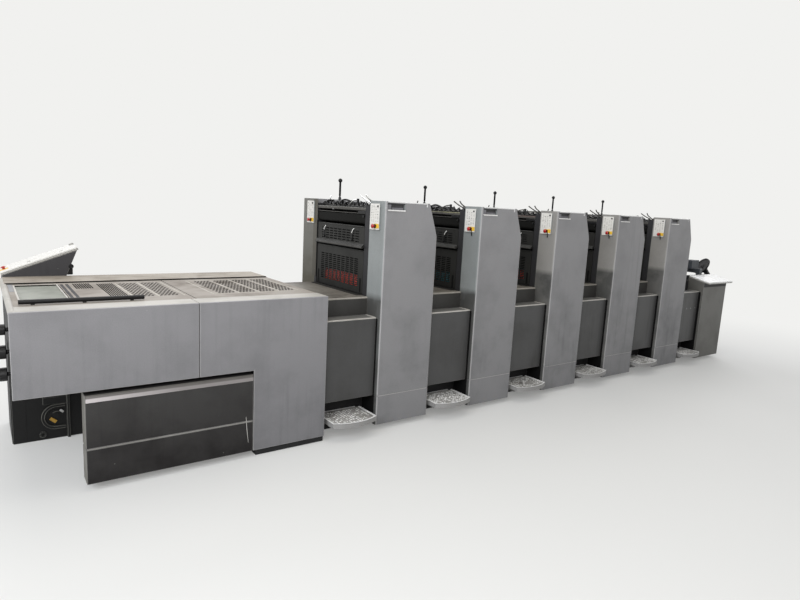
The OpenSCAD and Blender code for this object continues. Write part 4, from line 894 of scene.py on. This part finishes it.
# The rails' front faces take the same near-black: a painted shadow gap.
def rail_parts(face, is_rounded):
    y = mm(face.calc_center_median()).y
    if y < STRIP_D:
        return 1
    return 2 if face.normal.y < -0.7 else 0


softened("deck_rails", 3.0, [rail_cream, lip_cream, hole_shade], segments=3, choose=rail_parts)
softened("edge_bar", 1.0, [black_plastic])
softened("end_knobs", 3.0, [black_plastic], segments=3)

frames = bmesh.new()
seams_x = [FIELD_X + k * FIELD_STEP - 10.5 for k in range(1, 5)] + list(FIELD_LINES)
for x in seams_x:
    block(frames, (x, FIELD_Y0 - 18, DECK_Z - 1), (x + 6.5, FIELD_Y1 + 14, DECK_Z + 1.2), 0.6)
for y in (FIELD_Y0 - 20, FIELD_Y1 + 10):
    block(frames, (FIELD_LINES[0], y, DECK_Z - 1), (FIELD_X + 4 * FIELD_STEP - 4, y + 5, DECK_Z + 1), 0.6)
pane_frame = bmesh.new()
block(pane_frame, (GLASS_X0 - 9, GLASS_Y0 - 7, DECK_Z - 3), (GLASS_X0 - 1, GLASS_Y1 + 7, DECK_Z + 1.5), 0.8)
block(pane_frame, (GLASS_X1 - 11, GLASS_Y0 - 7, DECK_Z - 6), (GLASS_X1 - 4, GLASS_Y1 + 7, DECK_Z + 1.5), 0.8)
for y in (GLASS_Y0 - 7, GLASS_Y1 + 1):
    block(pane_frame, (GLASS_X0 - 7, y, DECK_Z - 3), (GLASS_X1 + 3, y + 5, DECK_Z + 1.5), 0.8)
new_piece("pane_frame", pane_frame, bright_edge)
field_line = finish("pale field borders", "aba69a", "807a6f", rough=0.45, streak=0.6, low=0.0)
new_piece("field_borders", frames, field_line)

inlay, tracks = bmesh.new(), bmesh.new()
block(inlay, (DELIV_LEFT + 30, 610, DECK_Z - 2), (GLASS_X0 - 10, 872, DECK_Z + 0.8), 0.6)
for x in (-1622, -1596):
    block(tracks, (x, GLASS_Y0, DECK_Z - 8), (x + 16, GLASS_Y1, DECK_Z - 0.6), 1)
inlay_grey = finish("blue-grey inlay", "6c6d70", "55565a", rough=0.4, streak=0.5, low=0.0)
track_rubber = finish("dark grey rubber track", "1d1d1f", "141415", rough=0.6, streak=0.5, low=0.0,
                      shine=0.3)
new_piece("deck_inlay", inlay, inlay_grey)
new_piece("deck_tracks", tracks, track_rubber)

end_cap = bmesh.new()
block(end_cap, (DELIV_LEFT + 1, 16, 846), (DELIV_LEFT + 30, DECK_D - 2, DELIV_TOP + 3), 13, 5)
new_piece("deck_end_cap", end_cap, lip_cream)

sight_pane, tree, shader = new_material("float glass with a pale film")
pane_place = add(tree, "ShaderNodeTexCoord").outputs["Object"]
smear = add(tree, "ShaderNodeTexNoise", {"Vector": pane_place, "Scale": 1000 / 90, "Detail": 5.0})
dusty = add(tree, "ShaderNodeMapRange", {"Value": smear.outputs["Fac"], "From Min": 0.35, "From Max": 0.65})
film = add(tree, "ShaderNodeMix", {0: dusty.outputs[0], 6: linear("797d72"), 7: linear("8e9186")},
           data_type="RGBA")
tree.links.new(film.outputs[2], shader.inputs["Base Color"])
shader.inputs["Roughness"].default_value = 0.3
shader.inputs["Specular IOR Level"].default_value = 0.2
shader.inputs["Transmission Weight"].default_value = 0.1
shader.inputs["IOR"].default_value = 1.52
softened("sight_glass", 1.0, [sight_pane])

# Control desks: white laminate slabs with a dark groove round their edge, on wedge-shaped boxes.
# Faint marks lie on the delivery desk's slab, which hangs on the far side of the deck.
DESK_L, DESK_D, SLAB_T, DESK_TILT = 427, 220, 22, math.radians(20.5)
DESK_X0, DESK_Z0 = DELIV_LEFT + 14, DELIV_TOP + 14.5
CAB_X, CAB_W, CAB_TOP, SLAB_OVER, FEED_TILT = 3917, 458, 803, 48, math.radians(13)
slab_laminate = finish("white desk laminate", "e0dfda", "cbc8c1", rough=0.28, streak=0.3, low=0.0, chips=0.0)
slab_edge = finish("grey desk edge band", "a9a7a1", "87857f", rough=0.35, streak=0.3, low=0.0, chips=0.0)
groove_black = finish("dark desk groove", "4a4945", "33322f", rough=0.5, low=0.0, chips=0.0)
desk_print = finish("faint desk print", "c3c1ba", "aaa8a1", rough=0.35, low=0.0, chips=0.0)
feed_laminate = finish("bright feeder desk laminate", "f7f7f5", "dddcd8", rough=0.25, streak=0.3, low=0.0,
                       chips=0.0)


def slab_parts(face, is_rounded):
    return 1 if mm(face.calc_center_median()).x > 0 else 0


softened("desk_slabs", 4.0, [slab_laminate, feed_laminate], segments=3, choose=slab_parts)
softened("desk_bodies", 2.0, [dark_enamel, dark_edge_wear_highlight], choose=worn_and_highlit_edges)
desk_place = (Matrix.Translation(at(DESK_X0 + DESK_L * math.cos(DESK_TILT), DECK_D,
                                    DESK_Z0 + DESK_L * math.sin(DESK_TILT)))
              @ Matrix.Rotation(-DESK_TILT, 4, "Y"))
feed_place = Matrix.Translation(at(CAB_X, -SLAB_OVER, CAB_TOP)) @ Matrix.Rotation(FEED_TILT, 4, "X")
FEED_L = (SLAB_OVER + TOWER_D) / math.cos(FEED_TILT) - 1
grooves, bands = bmesh.new(), bmesh.new()
for slab, low, high in ((desk_place, (-DESK_L, 0), (0, DESK_D)), (feed_place, (0, 0), (CAB_W + 20, FEED_L))):
    block(grooves, (low[0] - 0.4, low[1] - 0.4, 9), (high[0] + 0.4, high[1] - 0.6, 11.5), 0.5, place=slab)
    block(bands, (low[0] - 0.5, low[1] - 0.5, 1), (high[0] + 0.5, high[1] - 0.6, 8.5), 1.5, place=slab)
new_piece("slab_grooves", grooves, groove_black)
new_piece("slab_bands", bands, slab_edge)
desk_keys, desk_marks, desk_plate = bmesh.new(), bmesh.new(), bmesh.new()
for row in range(4):
    for col in range(9):
        x, y = -DESK_L + 80 + col * 36, 34 + row * 40
        if random.random() < 0.7:
            wide = random.choice((8, 12, 16))
            block(desk_keys, (x, y, SLAB_T - 0.5), (x + wide, y + 6, SLAB_T + 0.5), 0.3, 1, place=desk_place)
for x in (-DESK_L + 148, -DESK_L + 330):
    block(desk_marks, (x, 34, SLAB_T - 0.5), (x + 18, 46, SLAB_T + 1.2), 0.8, place=desk_place)
block(desk_marks, (-22, DESK_D - 44, SLAB_T - 2), (3, DESK_D - 1, SLAB_T + 5), 2.5, place=desk_place)
block(desk_plate, (-DESK_L + 5, 38, SLAB_T - 0.5), (-DESK_L + 48, 82, SLAB_T + 1.4), 0.8, place=desk_place)
new_piece("desk_keys", desk_keys, desk_print)
new_piece("desk_marks", desk_marks, key_dark)
new_piece("desk_plate", desk_plate, yellow_plate)
hinge = bmesh.new()
HINGE_X, HINGE_Z = DESK_X0 + 356, DELIV_TOP + 62
rod(hinge, (HINGE_X, DECK_D - 2, HINGE_Z), (HINGE_X, DECK_D + 26, HINGE_Z), 15, 20, edge=3)
block(hinge, (HINGE_X - 34, DECK_D + 6, HINGE_Z - 52), (HINGE_X + 10, DECK_D + 20, HINGE_Z - 4), 4, 3)
new_piece("desk_hinge", hinge, black_plastic)

# Feeder: a dark side frame, a cabinet under the white slab, the suction head and the sloping board.
# A black handwheel leans at the near wall; the pile table is bare steel.
feeder_enamel = finish("dark green-grey cabinet enamel", "62615d", "45443f", rough=0.45, streak=0.4, low=0.4)
wheel_black = finish("matt black handwheel", "0c0c0e", "070708", rough=0.55, streak=0.1, low=0.0,
                     chips=0.0, shine=0.2)
head_enamel = finish("blue-grey head enamel", "3d4146", "2b2d30", rough=0.45, streak=0.5, low=0.0)
softened("feeder_frame", 2.0, [wall_enamel, dark_edge_wear_highlight], choose=worn_and_highlit_edges)
softened("feeder_cabinet", 3.0, [feeder_enamel, dark_edge_wear_highlight], segments=3, choose=worn_and_highlit_edges)
softened("feeder_head", 2.0, [head_enamel])
softened("feed_board", 1.5, [steel])
softened("pile_table", 2.0, [steel])
softened("feeder_handwheel", 2.0, [wheel_black], "feeder_handwheel", segments=3)
# A matt black strip on the cabinet's side below the ledge and a dark band under the slab's front edge are
# painted shade.
cab_side_shade, cab_shade = bmesh.new(), bmesh.new()
block(cab_side_shade, (CAB_X - 0.7, 22, 40), (CAB_X + 0.4, TOWER_D - 4, GAP_TOP - 8), 0.3)
block(cab_shade, (CAB_X + 2, -1.5, CAB_TOP - 36), (CAB_X + CAB_W - 2, 2, CAB_TOP + 6), 1)
new_piece("cabinet_side_shade", cab_side_shade, black_rubber_and_shade)
new_piece("cabinet_shade", cab_shade, wall_enamel)
